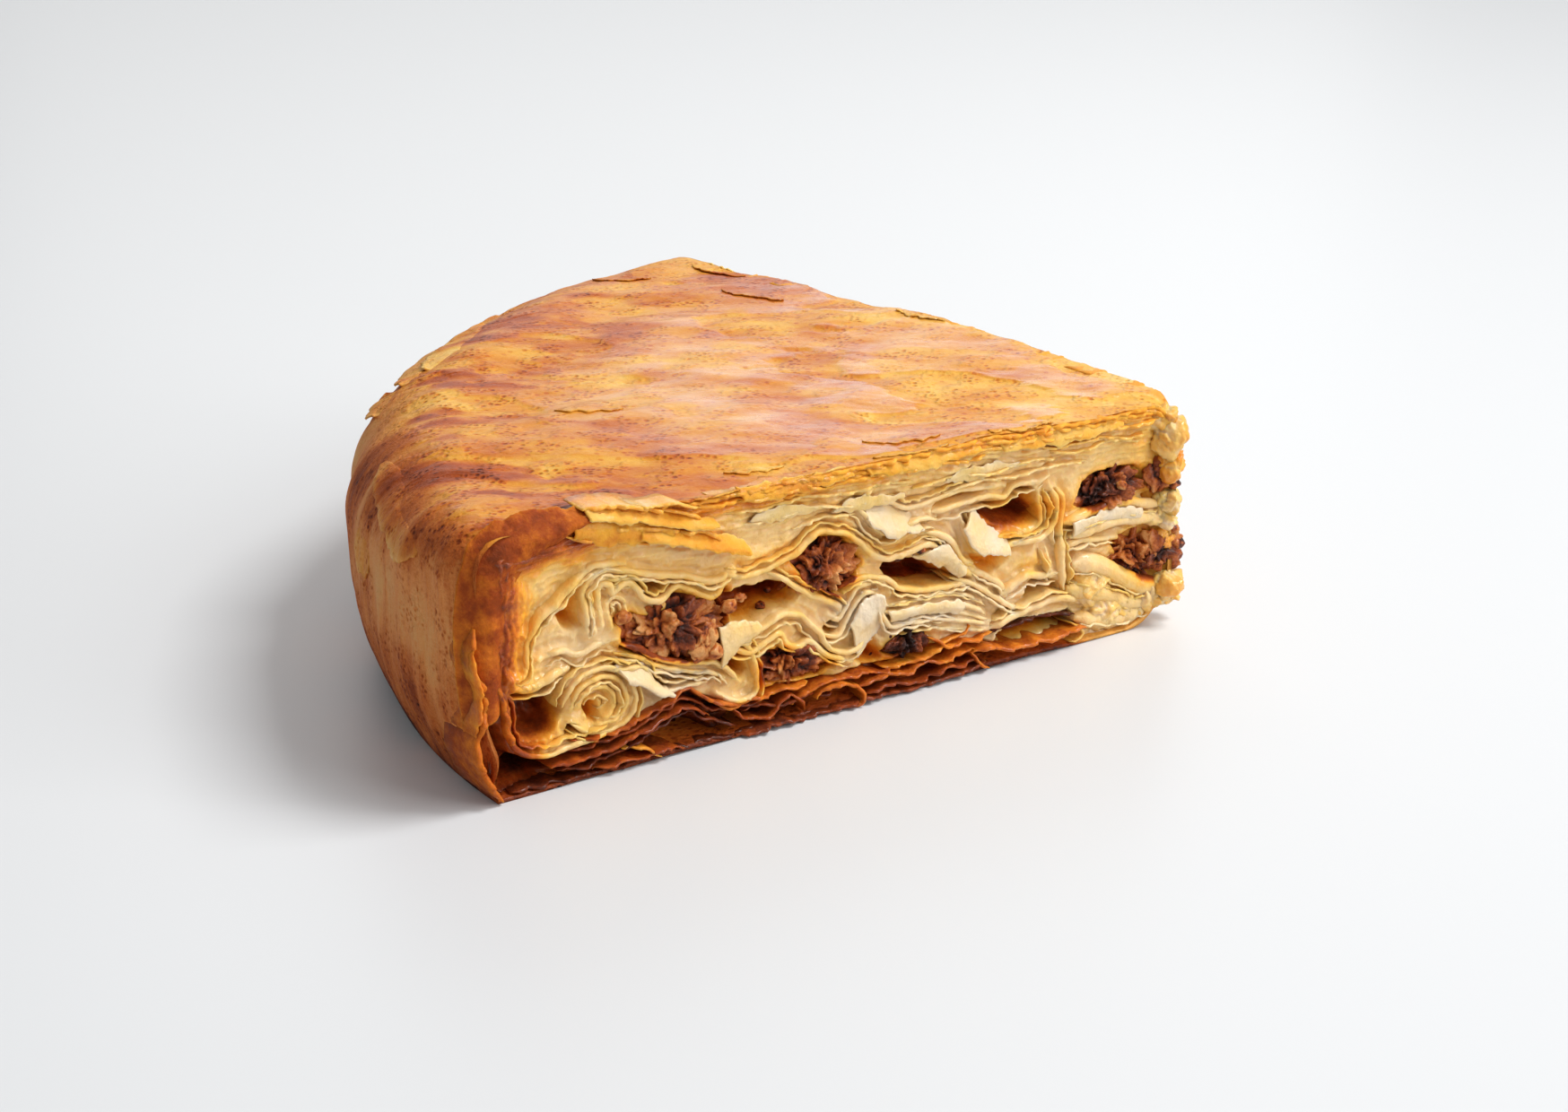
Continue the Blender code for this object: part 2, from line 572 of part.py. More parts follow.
def carve_cuts(pastry):
    """Sink both cuts behind the crust, with the hollows between the sheets."""
    tools = new_collection("hollow_tools", hidden=True)
    for face, names in (("front", list(HOLLOWS)), ("back", BACK_HOLLOWS)):
        block(f"recess_{face}", RECESS, -3.0, RECESS_DEPTH, face, tools)
        for name in names:
            depth, outline = HOLLOWS[name]
            block(f"hollow_{name}_{face}", warp(outline, face), -1.0, depth, face, tools)
    join(pastry, tools, "DIFFERENCE")


def add_sheets(pastry):
    """Fuse the sheets of dough and the lifted flakes to the slice."""
    tools = new_collection("sheet_tools", hidden=True)
    for face, names in (("front", list(SHEETS)), ("back", BACK_SHEETS)):
        for index, name in enumerate(names):
            thickness, depth, path = SHEETS[name]
            near = 0.35 + 0.25 * (index % 4)
            sheet(f"sheet_{name}_{face}", warp(path, face), thickness, near, depth, face, tools)
    for name, (thickness, near, far, path) in TOP_FLAKES.items():
        sheet(f"flake_{name}", path, thickness, near, far, "front", tools)
    for name, values in RIM_FLAKES.items():
        rim_flake(f"rim_flake_{name}", *values, tools)
    join(pastry, tools, "UNION")


def open_pockets(pastry):
    """Cut the bands' tunnels and their wider mouths at both cuts."""
    tools = new_collection("pocket_tools", hidden=True)
    for name, (distance, height, half_width, half_height) in MEAT.items():
        meat_band(f"tunnel_{name}", distance, height, half_width, half_height, 1.0, tools)
        for face in ("front", "back"):
            mouth = oval(distance, height, half_width, half_height)
            block(f"mouth_{name}_{face}", mouth, -6.0, MOUTH_DEPTH, face, tools)
    join(pastry, tools, "DIFFERENCE")


def make_meat(name, values, material, collection):
    """One band of minced meat with the grains that show at both cuts."""
    band = meat_band(name, *values, 0.0, collection)
    band.hide_render = False
    band.display_type = "TEXTURED"
    tools = new_collection(f"{name}_grains", hidden=True)
    for face in ("front", "back"):
        meat_grains(name, *values, face, tools)
    if name == "meat_tip_low":
        for index, (u, z, radius) in enumerate(TIP_GRAINS):
            grain(f"{name}_tip_{index}", u, 2.2, z, radius, "front", tools)
    join(band, tools, "UNION")
    keep_largest(band)
    band.data.materials.clear()
    band.data.materials.append(material)
    return band


def main():
    clear_scene()
    parts = new_collection("burek")
    crust = make_material("pastry", (0.66, 0.30, 0.085), 0.42)
    mince = make_material("meat", (0.20, 0.065, 0.025), 0.55)

    pastry = crust_body("pastry", parts)
    carve_cuts(pastry)
    add_sheets(pastry)
    open_pockets(pastry)
    keep_largest(pastry)
    pastry.data.materials.clear()
    pastry.data.materials.append(crust)

    bands = [make_meat(name, values, mince, parts) for name, values in MEAT.items()]
    for item in [pastry, *bands]:
        item.data.transform(Matrix.Translation(TIP_PLACE))
        item.data.update()


main()
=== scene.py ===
# %% [markdown]
# # A wedge of meat burek
# A burek is a round pie of paper-thin dough, crumpled over bands of minced meat
# and baked until its skin is golden. This lesson dresses one cut wedge of it.
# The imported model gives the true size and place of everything, so the first
# cell loads it and keeps its box: nothing that is added may reach outside it.

# %% Load the frame
import math

import bmesh
import bpy
import numpy as np
from mathutils import Matrix, Vector


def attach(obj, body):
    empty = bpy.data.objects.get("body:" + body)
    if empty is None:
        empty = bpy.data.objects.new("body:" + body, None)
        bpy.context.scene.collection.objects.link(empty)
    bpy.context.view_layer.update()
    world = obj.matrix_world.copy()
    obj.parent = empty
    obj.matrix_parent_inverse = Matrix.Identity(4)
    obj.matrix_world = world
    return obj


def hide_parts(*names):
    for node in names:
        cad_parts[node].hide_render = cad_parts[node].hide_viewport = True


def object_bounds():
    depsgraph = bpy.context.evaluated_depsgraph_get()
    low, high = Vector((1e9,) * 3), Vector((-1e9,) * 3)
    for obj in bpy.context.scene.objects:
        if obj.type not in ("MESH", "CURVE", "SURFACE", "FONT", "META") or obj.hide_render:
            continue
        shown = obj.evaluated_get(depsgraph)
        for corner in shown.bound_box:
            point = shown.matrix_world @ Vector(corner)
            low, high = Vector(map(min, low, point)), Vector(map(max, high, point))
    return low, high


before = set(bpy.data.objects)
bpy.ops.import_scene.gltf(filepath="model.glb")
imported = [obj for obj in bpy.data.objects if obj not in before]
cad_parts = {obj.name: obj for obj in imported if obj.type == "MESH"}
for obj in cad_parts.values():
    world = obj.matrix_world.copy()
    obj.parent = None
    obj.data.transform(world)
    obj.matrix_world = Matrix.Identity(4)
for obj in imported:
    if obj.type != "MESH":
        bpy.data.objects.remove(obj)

cad_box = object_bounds()
print("box of the solids in mm:", np.round(np.array(cad_box) * 1000.0, 1).tolist())

# %% [markdown]
# ## Where things are on the slice
# The pie was turned about the wedge's tip, so a point of the crust is an angle,
# a radius and a height. A point on a cut is easier as three lengths: `u` along
# the cut from the tip, `depth` into the food and `z` up. Everything below is
# written in millimetres, and `place` turns it into metres of the scene.

# %% The wedge in millimetres
MM = 0.001
TIP = np.array([0.0744, -0.0724, 0.0])
WEDGE_ANGLE = math.radians(82.0)
PIE_RADIUS = 150.0
RIM_HEIGHT = 45.3
TIP_HEIGHT = 42.6
BASE_INSET = 6.0
BELLY = 19.0
SHOULDER_FRONT = 9.0
SHOULDER_INSIDE = 20.0
SHOULDER_BLEND = math.radians(25.0)


def place(u, depth, z, face="front"):
    """Points of a cut in metres: u runs from the tip along the cut, depth into the food."""
    u, depth, z = np.broadcast_arrays(u, depth, z)
    if face == "front":
        x, y = -u, depth
    else:
        cosine, sine = math.cos(WEDGE_ANGLE), math.sin(WEDGE_ANGLE)
        x = -u * cosine - depth * sine
        y = u * sine - depth * cosine
    return TIP + MM * np.stack([x, y, z], axis=-1)


def place_turned(radius, angle, z):
    """Points in metres from a radius about the tip, an angle from the front cut and a height."""
    radius, angle, z = np.broadcast_arrays(radius, angle, z)
    return TIP + MM * np.stack([-radius * np.cos(angle), radius * np.sin(angle), z], axis=-1)


def ease(value):
    """Smooth step from 0 to 1: 3x^2 - 2x^3 on the clipped value."""
    value = np.clip(value, 0.0, 1.0)
    return value * value * (3.0 - 2.0 * value)


def bell(value, middle, width):
    """1 at the middle and less on both sides: e to the minus ((value - middle) / width)^2."""
    return np.exp(-((value - middle) / width) ** 2)


def unit(vectors):
    """The vectors divided by their lengths."""
    return vectors / np.maximum(np.linalg.norm(vectors, axis=-1, keepdims=True), 1e-12)


print("cut length in mm:", PIE_RADIUS, "wedge in degrees:", round(math.degrees(WEDGE_ANGLE)))

# %% [markdown]
# ## Smooth noise
# Nothing baked is even. One noise function gives every swelling, wrinkle and
# stain: each corner of a lattice gets a fixed random slope, and the slopes are
# blended between corners. It works on whole arrays and is the same each run.

# %% Gradient noise on arrays
SLOPES = np.array([(x, y, z) for x in (-1, 0, 1) for y in (-1, 0, 1) for z in (-1, 0, 1)
                   if abs(x) + abs(y) + abs(z) == 2], dtype=float)


def noise(*coordinates, seed=0):
    """Gradient noise from -1 to 1 of two or three coordinates, blended by 6t^5 - 15t^4 + 10t^3."""
    parts = list(np.broadcast_arrays(*coordinates))
    while len(parts) < 3:
        parts.append(np.full_like(np.asarray(parts[0], dtype=float), 0.37))
    points = np.stack(parts, axis=-1).astype(float)
    cell = np.floor(points).astype(np.int64)
    inside = points - cell
    blend = inside ** 3 * (inside * (inside * 6.0 - 15.0) + 10.0)
    total = np.zeros(points.shape[:-1])
    for corner in np.ndindex(2, 2, 2):
        at = cell + np.array(corner)
        mixed = (at[..., 0] * 73856093) ^ (at[..., 1] * 19349663) ^ (at[..., 2] * 83492791)
        mixed = (mixed ^ (seed * 40503 + 977)) & 0x7FFFFFFF
        mixed = ((mixed ^ (mixed >> 13)) * 60493) & 0x7FFFFFFF
        mixed = ((mixed ^ (mixed >> 15)) * 19990303) & 0x7FFFFFFF
        slope = SLOPES[(mixed >> 7) % len(SLOPES)]
        share = np.prod(np.where(corner, blend, 1.0 - blend), axis=-1)
        total += share * np.sum(slope * (inside - np.array(corner)), axis=-1)
    return total * 1.1


def rough(*coordinates, seed=0):
    """Noise summed over three octaves, each twice as fine and half as strong."""
    total = 0.0
    for octave in range(3):
        scaled = [np.asarray(part) * 2.0 ** octave for part in coordinates]
        total = total + noise(*scaled, seed=seed + 31 * octave) / 2.0 ** octave
    return total


print("noise spans", np.round(np.percentile(noise(np.arange(4000) * 0.37, 0.0), [1, 99]), 2))

# %% [markdown]
# ## From arrays to pieces
# Each piece is a set of closed surfaces in one mesh. `Piece` collects their
# corners, faces and three numbers per corner, and writes them in one go: the
# first says how browned the dough is and also carries painted shade and light in
# places, `wet` how oily, and `extra` how much of the skin belongs to the rim.
# The finishes read them.

# %% Collect surfaces into a piece


class Piece:
    """Closed surfaces that become one mesh, with bake, wet and extra values per corner."""

    def __init__(self, name):
        self.name = name
        self.corners = []
        self.values = []
        self.faces = []
        self.count = 0

    def add(self, points, faces, bake_and_shade, wet=0.3, extra=0.0):
        """Add one closed surface; its faces are turned round if its volume is negative."""
        points = np.asarray(points, dtype=float).reshape(-1, 3)
        faces = [np.asarray(part, dtype=np.int64) for part in faces if len(part)]
        volume = 0.0
        centre = points.mean(axis=0)
        for part in faces:
            first = points[part[:, 0]] - centre
            for step in range(1, part.shape[1] - 1):
                second = points[part[:, step]] - centre
                third = points[part[:, step + 1]] - centre
                volume += np.sum(first * np.cross(second, third))
        if volume < 0.0:
            faces = [part[:, ::-1] for part in faces]
        columns = [np.broadcast_to(np.reshape(value, -1), len(points)) for value in (bake_and_shade, wet, extra)]
        self.values.append(np.stack(columns, axis=-1))
        self.corners.append(points)
        self.faces.extend(part + self.count for part in faces)
        self.count += len(points)

    def build(self, material, nodes=(), weld=False):
        """Write the mesh, smooth it, and tell the frame what it stands for."""
        points = np.clip(np.concatenate(self.corners), cad_box[0], cad_box[1])
        values = np.concatenate(self.values)
        mesh = bpy.data.meshes.new(self.name)
        totals = np.concatenate([np.full(len(part), part.shape[1]) for part in self.faces])
        loops = np.concatenate([part.reshape(-1) for part in self.faces])
        mesh.vertices.add(len(points))
        mesh.vertices.foreach_set("co", points.astype(np.float32).reshape(-1))
        mesh.loops.add(len(loops))
        mesh.loops.foreach_set("vertex_index", loops.astype(np.int32))
        mesh.polygons.add(len(totals))
        starts = np.concatenate([[0], np.cumsum(totals)[:-1]])
        mesh.polygons.foreach_set("loop_start", starts.astype(np.int32))
        mesh.polygons.foreach_set("use_smooth", np.ones(len(totals), dtype=bool))
        mesh.update(calc_edges=True)
        mesh.validate()
        for index, name in enumerate(("bake_and_shade", "wet", "extra")):
            layer = mesh.attributes.new(name, "FLOAT", "POINT")
            layer.data.foreach_set("value", values[:, index].astype(np.float32))
        if weld:
            weld_corners(mesh)
        mesh.materials.append(material)
        item = bpy.data.objects.new(self.name, mesh)
        bpy.context.scene.collection.objects.link(item)
        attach(item, "root")
        for node in nodes:
            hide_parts(node)
        print(f"{self.name}: {int(np.sum(totals - 2))} triangles")


def weld_corners(mesh):
    """Merge corners that lie in one place, at poles and seams."""
    shape = bmesh.new()
    shape.from_mesh(mesh)
    bmesh.ops.remove_doubles(shape, verts=shape.verts, dist=0.000002)
    bmesh.ops.dissolve_degenerate(shape, edges=shape.edges, dist=0.0000005)
    shape.to_mesh(mesh)
    shape.free()


# %% [markdown]
# ## Faces of grids, tubes and sheets
# Nearly every surface here is a grid of corners. These helpers number its
# faces: plain, closed round one way, closed at both ends as a tube, or doubled
# into a thin sheet with a border.

# %% Faces from grids


def quads(index):
    """Quads between the neighbours in a grid of corner numbers."""
    return np.stack([index[:-1, :-1], index[1:, :-1], index[1:, 1:], index[:-1, 1:]],
                    axis=-1).reshape(-1, 4)


def round_quads(index, axis=1):
    """Quads of a grid whose first row or column follows the last one again."""
    return quads(np.concatenate([index, np.take(index, [0], axis=axis)], axis=axis))


def tube_faces(index, shift=0):
    """Faces of a closed tube whose rings are the rows of a grid of corner numbers.

    A ladder closes each end: the ring, turned by shift corners, is split in two
    facing halves, and rungs join them.
    """
    faces = [round_quads(index)]
    for ring, turned in ((index[0], False), (index[-1], True)):
        left, right = np.roll(ring, -shift).reshape(2, -1)
        right = right[::-1]
        ladder = np.stack([left[:-1], left[1:], right[1:], right[:-1]], axis=-1)
        faces.append(ladder[:, ::-1] if turned else ladder)
    return faces


def slab(middle, thickness):
    """A thin closed sheet round a grid of points: half the thickness to either side.

    The side is the unit cross product of the grid's two directions. The border
    is closed by a strip of quads along each edge.
    """
    side = unit(np.cross(np.gradient(middle, axis=0), np.gradient(middle, axis=1)))
    half = 0.5 * MM * thickness
    points = np.stack([middle + side * half, middle - side * half]).reshape(-1, 3)
    size = len(points) // 2
    index = np.arange(size).reshape(middle.shape[:2])
    loop = np.concatenate([index[0, :], index[1:, -1], index[-1, -2::-1], index[-2:0:-1, 0]])
    turned = np.roll(loop, -1)
    border = np.stack([loop, turned, turned + size, loop + size], axis=-1)
    return points, [quads(index), quads(index + size)[:, ::-1], border]


def both_sides(*parts):
    """Values of a sheet's grid, kept between 0 and 1 and repeated for the sheet's other side."""
    return [np.tile(np.clip(part, 0.0, 1.0).reshape(-1), 2) for part in parts]


print("a grid of 3 by 4 corners has", len(quads(np.arange(12).reshape(3, 4))), "faces")

# %% [markdown]
# ## Paths and outlines on a cut
# The sheets of dough show as lines on the cut, and the hollows as outlines. A
# few listed points and a Catmull-Rom curve give each of them a natural
# bend. The distance to such a line then shapes the relief round it.

# %% Curves and distances


def curve_through(points, spacing, closed=False):
    """Catmull-Rom curve through points, resampled at equal steps of its length."""
    knots = np.array(points, dtype=float)
    if closed:
        knots = np.concatenate([knots[-1:], knots, knots[:2]])
    else:
        knots = np.concatenate([[2 * knots[0] - knots[1]], knots, [2 * knots[-1] - knots[-2]]])
    before, start, end, after = knots[:-3], knots[1:-2], knots[2:-1], knots[3:]
    t = np.linspace(0.0, 1.0, 16, endpoint=False)[:, None, None]
    square = 2 * before - 5 * start + 4 * end - after
    cube = 3 * start - before - 3 * end + after
    bend = 0.5 * (2 * start + (end - before) * t + square * t ** 2 + cube * t ** 3)
    fine = np.concatenate([bend.transpose(1, 0, 2).reshape(-1, 2), end[-1:]])
    length = np.concatenate([[0.0], np.cumsum(np.linalg.norm(np.diff(fine, axis=0), axis=1))])
    steps = max(int(length[-1] / spacing), 4)
    at = np.linspace(0.0, length[-1], steps + 1)
    if closed:
        at = at[:-1]
    return np.stack([np.interp(at, length, fine[:, axis]) for axis in (0, 1)], axis=-1)


def segment_distance(u, z, start, end):
    """Distance from points to one straight segment."""
    du, dz = end - start
    along = ((u - start[0]) * du + (z - start[1]) * dz) / max(du * du + dz * dz, 1e-9)
    along = np.clip(along, 0.0, 1.0)
    return np.hypot(u - start[0] - along * du, z - start[1] - along * dz)


def line_distance(u, z, line):
    """Distance from points to an open line."""
    nearest = np.full(np.shape(u), 1e9)
    for start, end in zip(line[:-1], line[1:]):
        nearest = np.minimum(nearest, segment_distance(u, z, start, end))
    return nearest


def inside_distance(u, z, outline):
    """Distance to a closed outline, positive inside and negative outside."""
    nearest = np.full(np.shape(u), 1e9)
    inside = np.zeros(np.shape(u), dtype=bool)
    for start, end in zip(outline, np.roll(outline, -1, axis=0)):
        nearest = np.minimum(nearest, segment_distance(u, z, start, end))
        crosses = (start[1] > z) != (end[1] > z)
        height = end[1] - start[1] if abs(end[1] - start[1]) > 1e-9 else 1e-9
        inside ^= crosses & (u < (end[0] - start[0]) * (z - start[1]) / height + start[0])
    return np.where(inside, nearest, -nearest)


square = np.array([[0.0, 0.0], [2.0, 0.0], [2.0, 2.0], [0.0, 2.0]])
print("the middle of a 2 mm square lies", float(inside_distance(1.0, 1.0, square)), "mm inside it")

# %% [markdown]
# ## Shader maths in plain expressions
# A finish is arithmetic on patterns. The small class below wraps a socket, so
# that `1 - mask` or `a * 0.3 + b` adds the Math nodes itself. Colours go
# through ramps and mixes, because a Math node would turn them grey.

# %% Sockets as numbers


def linear(red, green, blue):
    """Linear colour from the 0 to 255 values of a screen."""
    parts = np.array([red, green, blue]) / 255.0
    parts = np.where(parts <= 0.04045, parts / 12.92, ((parts + 0.055) / 1.055) ** 2.4)
    return (*parts.tolist(), 1.0)


class Value:
    """A socket that carries a number, with the usual operators."""

    def __init__(self, finish, socket):
        self.finish = finish
        self.socket = socket

    def _math(self, operation, left, right=None):
        return Value(self.finish, self.finish.node("ShaderNodeMath", {"operation": operation},
                                                   [left, right]).outputs[0])

    def __add__(self, other):
        return self._math("ADD", self, other)

    def __radd__(self, other):
        return self._math("ADD", other, self)

    def __sub__(self, other):
        return self._math("SUBTRACT", self, other)

    def __rsub__(self, other):
        return self._math("SUBTRACT", other, self)

    def __mul__(self, other):
        return self._math("MULTIPLY", self, other)

    def __rmul__(self, other):
        return self._math("MULTIPLY", other, self)

    def clipped(self):
        """The value kept between 0 and 1."""
        return self._math("MINIMUM", self._math("MAXIMUM", self, 0.0), 1.0)

    def above(self, edge, width):
        """0 below an edge and 1 above it, with a soft width."""
        ramp = self.finish.node("ShaderNodeMapRange", {"interpolation_type": "SMOOTHSTEP"},
                                [self, edge - width, edge + width, 0.0, 1.0])
        return Value(self.finish, ramp.outputs[0])


print("middle grey of a screen in linear light:", round(linear(128, 128, 128)[0], 3))

# %% [markdown]
# ## A material built from expressions
# `Finish` starts a Principled material and adds nodes as patterns are asked
# for: noise, cells, a ramp of colours or a bump. What varies over the surface
# is linked to the shader at the end.

# %% Patterns, ramps and bumps


class Finish:
    """A Principled material whose nodes are added by expressions."""

    def __init__(self, name, **constants):
        self.material = bpy.data.materials.new(name)
        self.material.use_nodes = True
        self.tree = self.material.node_tree
        self.shader = self.tree.nodes["Principled BSDF"]
        for socket, value in constants.items():
            self.shader.inputs[socket.replace("_", " ")].default_value = value
        self.place = self.node("ShaderNodeTexCoord").outputs["Object"]

    def node(self, kind, settings=None, values=None):
        """Any node: its settings first, then the value or link of each socket."""
        made = self.tree.nodes.new(kind)
        for key, value in (settings or {}).items():
            setattr(made, key, value)
        pairs = values.items() if isinstance(values, dict) else enumerate(values or [])
        for key, value in pairs:
            if value is None:
                continue
            if isinstance(value, Value):
                value = value.socket
            if isinstance(value, bpy.types.NodeSocket):
                self.tree.links.new(value, made.inputs[key])
            else:
                made.inputs[key].default_value = value
        return made

    def attribute(self, name):
        """A number stored at the piece's corners."""
        made = self.node("ShaderNodeAttribute", {"attribute_name": name})
        return Value(self, made.outputs["Fac"])

    def stretched(self, stretch, turn=0.0):
        """Object coordinates, turned about Z and stretched."""
        made = self.node("ShaderNodeMapping", {"vector_type": "POINT"}, {
            "Vector": self.place, "Rotation": (0.0, 0.0, turn), "Scale": stretch})
        return made.outputs[0]

    def noise(self, size, detail=3.0, place=None, roughness=0.55):
        """Noise whose features are about size millimetres wide, from 0 to 1."""
        made = self.node("ShaderNodeTexNoise", {}, {
            "Vector": place or self.place, "Scale": 1.0 / (size * MM), "Detail": detail,
            "Roughness": roughness})
        return Value(self, made.outputs["Fac"])

    def cells(self, size, place=None):
        """Distance to scattered points, about size millimetres apart."""
        made = self.node("ShaderNodeTexVoronoi", {}, {
            "Vector": place or self.place, "Scale": 1.0 / (size * MM)})
        return Value(self, made.outputs["Distance"])

    def ramp(self, value, stops):
        """Colour ramp through stops: a position, then red, green and blue from 0 to 255."""
        made = self.node("ShaderNodeValToRGB", {}, [value])
        spots = made.color_ramp.elements
        while len(spots) < len(stops):
            spots.new(0.5)
        for spot, (position, *screen) in zip(spots, stops):
            spot.position = position
            spot.color = linear(*screen)
        return made.outputs["Color"]

    def mix(self, share, first, second):
        """Mix two colours by a share."""
        made = self.node("ShaderNodeMix", {"data_type": "RGBA"}, {0: share, 6: first, 7: second})
        return made.outputs[2]

    def bump(self, height, depth, under=None):
        """Bump from a height that is depth millimetres tall at 1."""
        made = self.node("ShaderNodeBump", {}, {
            "Strength": 1.0, "Distance": depth * MM, "Height": height, "Normal": under})
        return made.outputs["Normal"]

    def wear(self, **sockets):
        """Link what varies to the shader."""
        for name, value in sockets.items():
            if isinstance(value, Value):
                value = value.socket
            self.tree.links.new(value, self.shader.inputs[name.replace("_", " ")])
        return self.material


print("shader helpers ready")

# %% [markdown]
# ## The finish of the dough
# Every sheet is the same dough at another stage: nearly white and translucent
# where steam kept it soft, cream, then yellow, orange and caramel where it met
# the hot pan. So one ramp along the bake value colours all of it; that value
# also carries painted shade in hollows and on sheets that run back into the
# food. Light goes a little way into it, which a touch of subsurface scattering gives.

# %% Dough
DOUGH_STOPS = [
    (0.00, 238, 214, 184), (0.14, 242, 206, 150), (0.28, 242, 194, 104), (0.42, 242, 166, 52),
    (0.56, 208, 114, 26), (0.70, 154, 66, 14), (0.85, 92, 36, 13), (1.00, 40, 14, 7),
]


def make_dough():
    """Dough inside the slice: stained by bake, faintly fibrous, moist."""
    finish = Finish("dough", Specular_IOR_Level=0.22, Subsurface_Weight=0.45,
                    Subsurface_Radius=(0.0023, 0.0018, 0.0012), Subsurface_Scale=0.55, IOR=1.42,
                    Coat_Roughness=0.13)
    bake_and_shade, wet = finish.attribute("bake_and_shade"), finish.attribute("wet")
    stain = finish.noise(7.0, 4.0) - 0.5
    fleck = finish.noise(2.2, 4.0, roughness=0.7) - 0.5
    fibre = finish.noise(0.8, 3.0, roughness=0.65) - 0.5
    baked = bake_and_shade.above(0.5, 0.16)
    tone = bake_and_shade + stain * 0.16 + fleck * 0.10 + fibre * 0.08 + fleck * baked * 0.26
    colour = finish.ramp(tone.clipped(), DOUGH_STOPS)
    rough_value = (0.60 - wet * 0.30 + fibre * 0.4 + baked * 0.10).clipped()
    grain = finish.bump(finish.noise(0.55, 4.0, roughness=0.75), 0.16)
    waves = finish.bump(finish.noise(2.4, 4.0, roughness=0.60), 0.45, under=grain)
    coat = (wet * 0.80 + fleck * 0.8 - baked * 0.20).clipped()
    return finish.wear(Base_Color=colour, Roughness=rough_value, Coat_Weight=coat, Normal=waves)


dough = make_dough()
print("dough has", len(dough.node_tree.nodes), "nodes")

# %% [markdown]
# ## The outside as one function
# The top, the rolled rim and the wall are one skin. A point on it is an angle
# about the tip and a length in millimetres, counted from the tip over the top,
# round the shoulder and down the wall. Any flake that lies on the crust can
# then use the same function with a little lift.

# %% The skin of the pie
TIP_DROP = 5.0
TIP_RISE = 6.0


def shoulder_at(angle):
    """Radius of the rolled shoulder: 9 mm at the front cut, 20 mm further inside."""
    return SHOULDER_FRONT + (SHOULDER_INSIDE - SHOULDER_FRONT) * ease(angle / SHOULDER_BLEND)


def skin(angle, along):
    """Radius, height and outward direction of the plain crust at a length along its profile.

    Top: a straight line that rises from the tip. Shoulder: a quarter ellipse.
    Wall: straight down, pulled in below the belly by inset * (1 - z / belly)^1.7.
    """
    angle, along = np.broadcast_arrays(np.asarray(angle, float), np.asarray(along, float))
    shoulder = shoulder_at(angle)
    inner = PIE_RADIUS - shoulder
    arc = 1.5 * shoulder
    turn = np.clip((along - inner) / arc, 0.0, 1.0) * math.pi / 2.0
    down = np.clip(along - inner - arc, 0.0, None)
    rise = TIP_HEIGHT + (RIM_HEIGHT - TIP_HEIGHT) * np.clip(along, 0.0, inner) / PIE_RADIUS
    height = rise - 0.9 * shoulder * (1.0 - np.cos(turn)) - down
    height = np.maximum(height, 0.0)
    tuck = np.maximum(0.0, 1.0 - height / BELLY) ** 1.7
    radius = np.clip(along, 0.0, inner) + shoulder * np.sin(turn) - BASE_INSET * tuck
    return radius, height, np.sin(turn), np.cos(turn)


def skin_length(angle):
    """Length of the profile from the tip to the foot of the wall."""
    shoulder = shoulder_at(angle)
    return PIE_RADIUS + 0.5 * shoulder + RIM_HEIGHT - 0.9 * shoulder


def streaked(x, y):
    """Coordinates along and across the slow streaks of the top, turned by 36 degrees."""
    return x * 0.809 - y * 0.588, x * 0.588 + y * 0.809


def layers(x, y):
    """How far the torn outer skin covers a point, 0 to 1, and how close a torn edge is.

    A slow streaked noise, shaken by finer ones, is cut at a level. The skin
    ends a few mm before both cuts.
    """
    along, across = streaked(x, y)
    ragged = 0.10 * noise(along / 5.0, across / 2.4, seed=7)
    ragged = ragged + 0.05 * noise(along / 1.8, across / 1.1, seed=8)
    field = rough(along / 36.0, across / 18.0, seed=5) + ragged
    from_back = np.hypot(x, y) * np.sin(WEDGE_ANGLE - np.arctan2(y, -x - 1e-6))
    near_cut = np.exp(-np.maximum(y, 0.0) / 2.6) + 0.7 * np.exp(-np.maximum(from_back, 0.0) / 3.0)
    torn_here = 0.8 + 0.7 * noise(x / 13.0, 0.5, seed=9)
    field = field + 0.30 - 1.05 * near_cut * torn_here * ease((np.hypot(x, y) - 2.0) / 8.0)
    cover = ease(field / 0.07)
    edge = bell(field, 0.01, 0.07)
    return cover, edge


def edge_roll(angle):
    """Millimetres that the wall draws in beside a cut: a bell of the distance along the arc."""
    from_front = angle * PIE_RADIUS
    from_back = (WEDGE_ANGLE - angle) * PIE_RADIUS
    return 2.3 * bell(from_front, 0.0, 3.6) + 1.4 * bell(from_back, 0.0, 3.0)


def crust_lift(angle, radius, height, upward):
    """Millimetres that baking pushes the skin out: swellings, wrinkles, torn layers."""
    x, y = -radius * np.cos(angle), radius * np.sin(angle)
    near_tip = ease(radius / 45.0)
    swell = 1.0 * noise(x / 26.0, y / 15.3, seed=1) * near_tip
    swell = swell + 0.35 * noise(x / 9.0, y / 6.0, seed=2) * ease(radius / 12.0)
    swell = swell + 2.2 * ease(angle / WEDGE_ANGLE) * bell(radius, 52.0, 48.0)
    cover = layers(x, y)[0]
    top = upward ** 2
    arc = angle * PIE_RADIUS
    wrinkle = 0.9 * noise(arc / 11.0, height / 40.0, seed=3)
    wrinkle = wrinkle + 0.40 * noise(arc / 4.0, height / 22.0, seed=4)
    wrinkle = wrinkle + 0.18 * noise(arc / 1.7, height / 12.0, seed=6)
    wrinkle = wrinkle - 0.35 - edge_roll(angle) * ease(height / 5.0)
    low = ease(height / 8.0)
    streak_u, streak_v = streaked(x, y)
    flaky = 0.34 * cover - 0.20 + 0.16 * rough(streak_u / 9.0, streak_v / 3.6, seed=13)
    lift = top * (swell + flaky * ease(radius / 4.0)) + (1.0 - top) * wrinkle * low
    return lift - TIP_DROP * bell(radius, 0.0, 3.2) * top


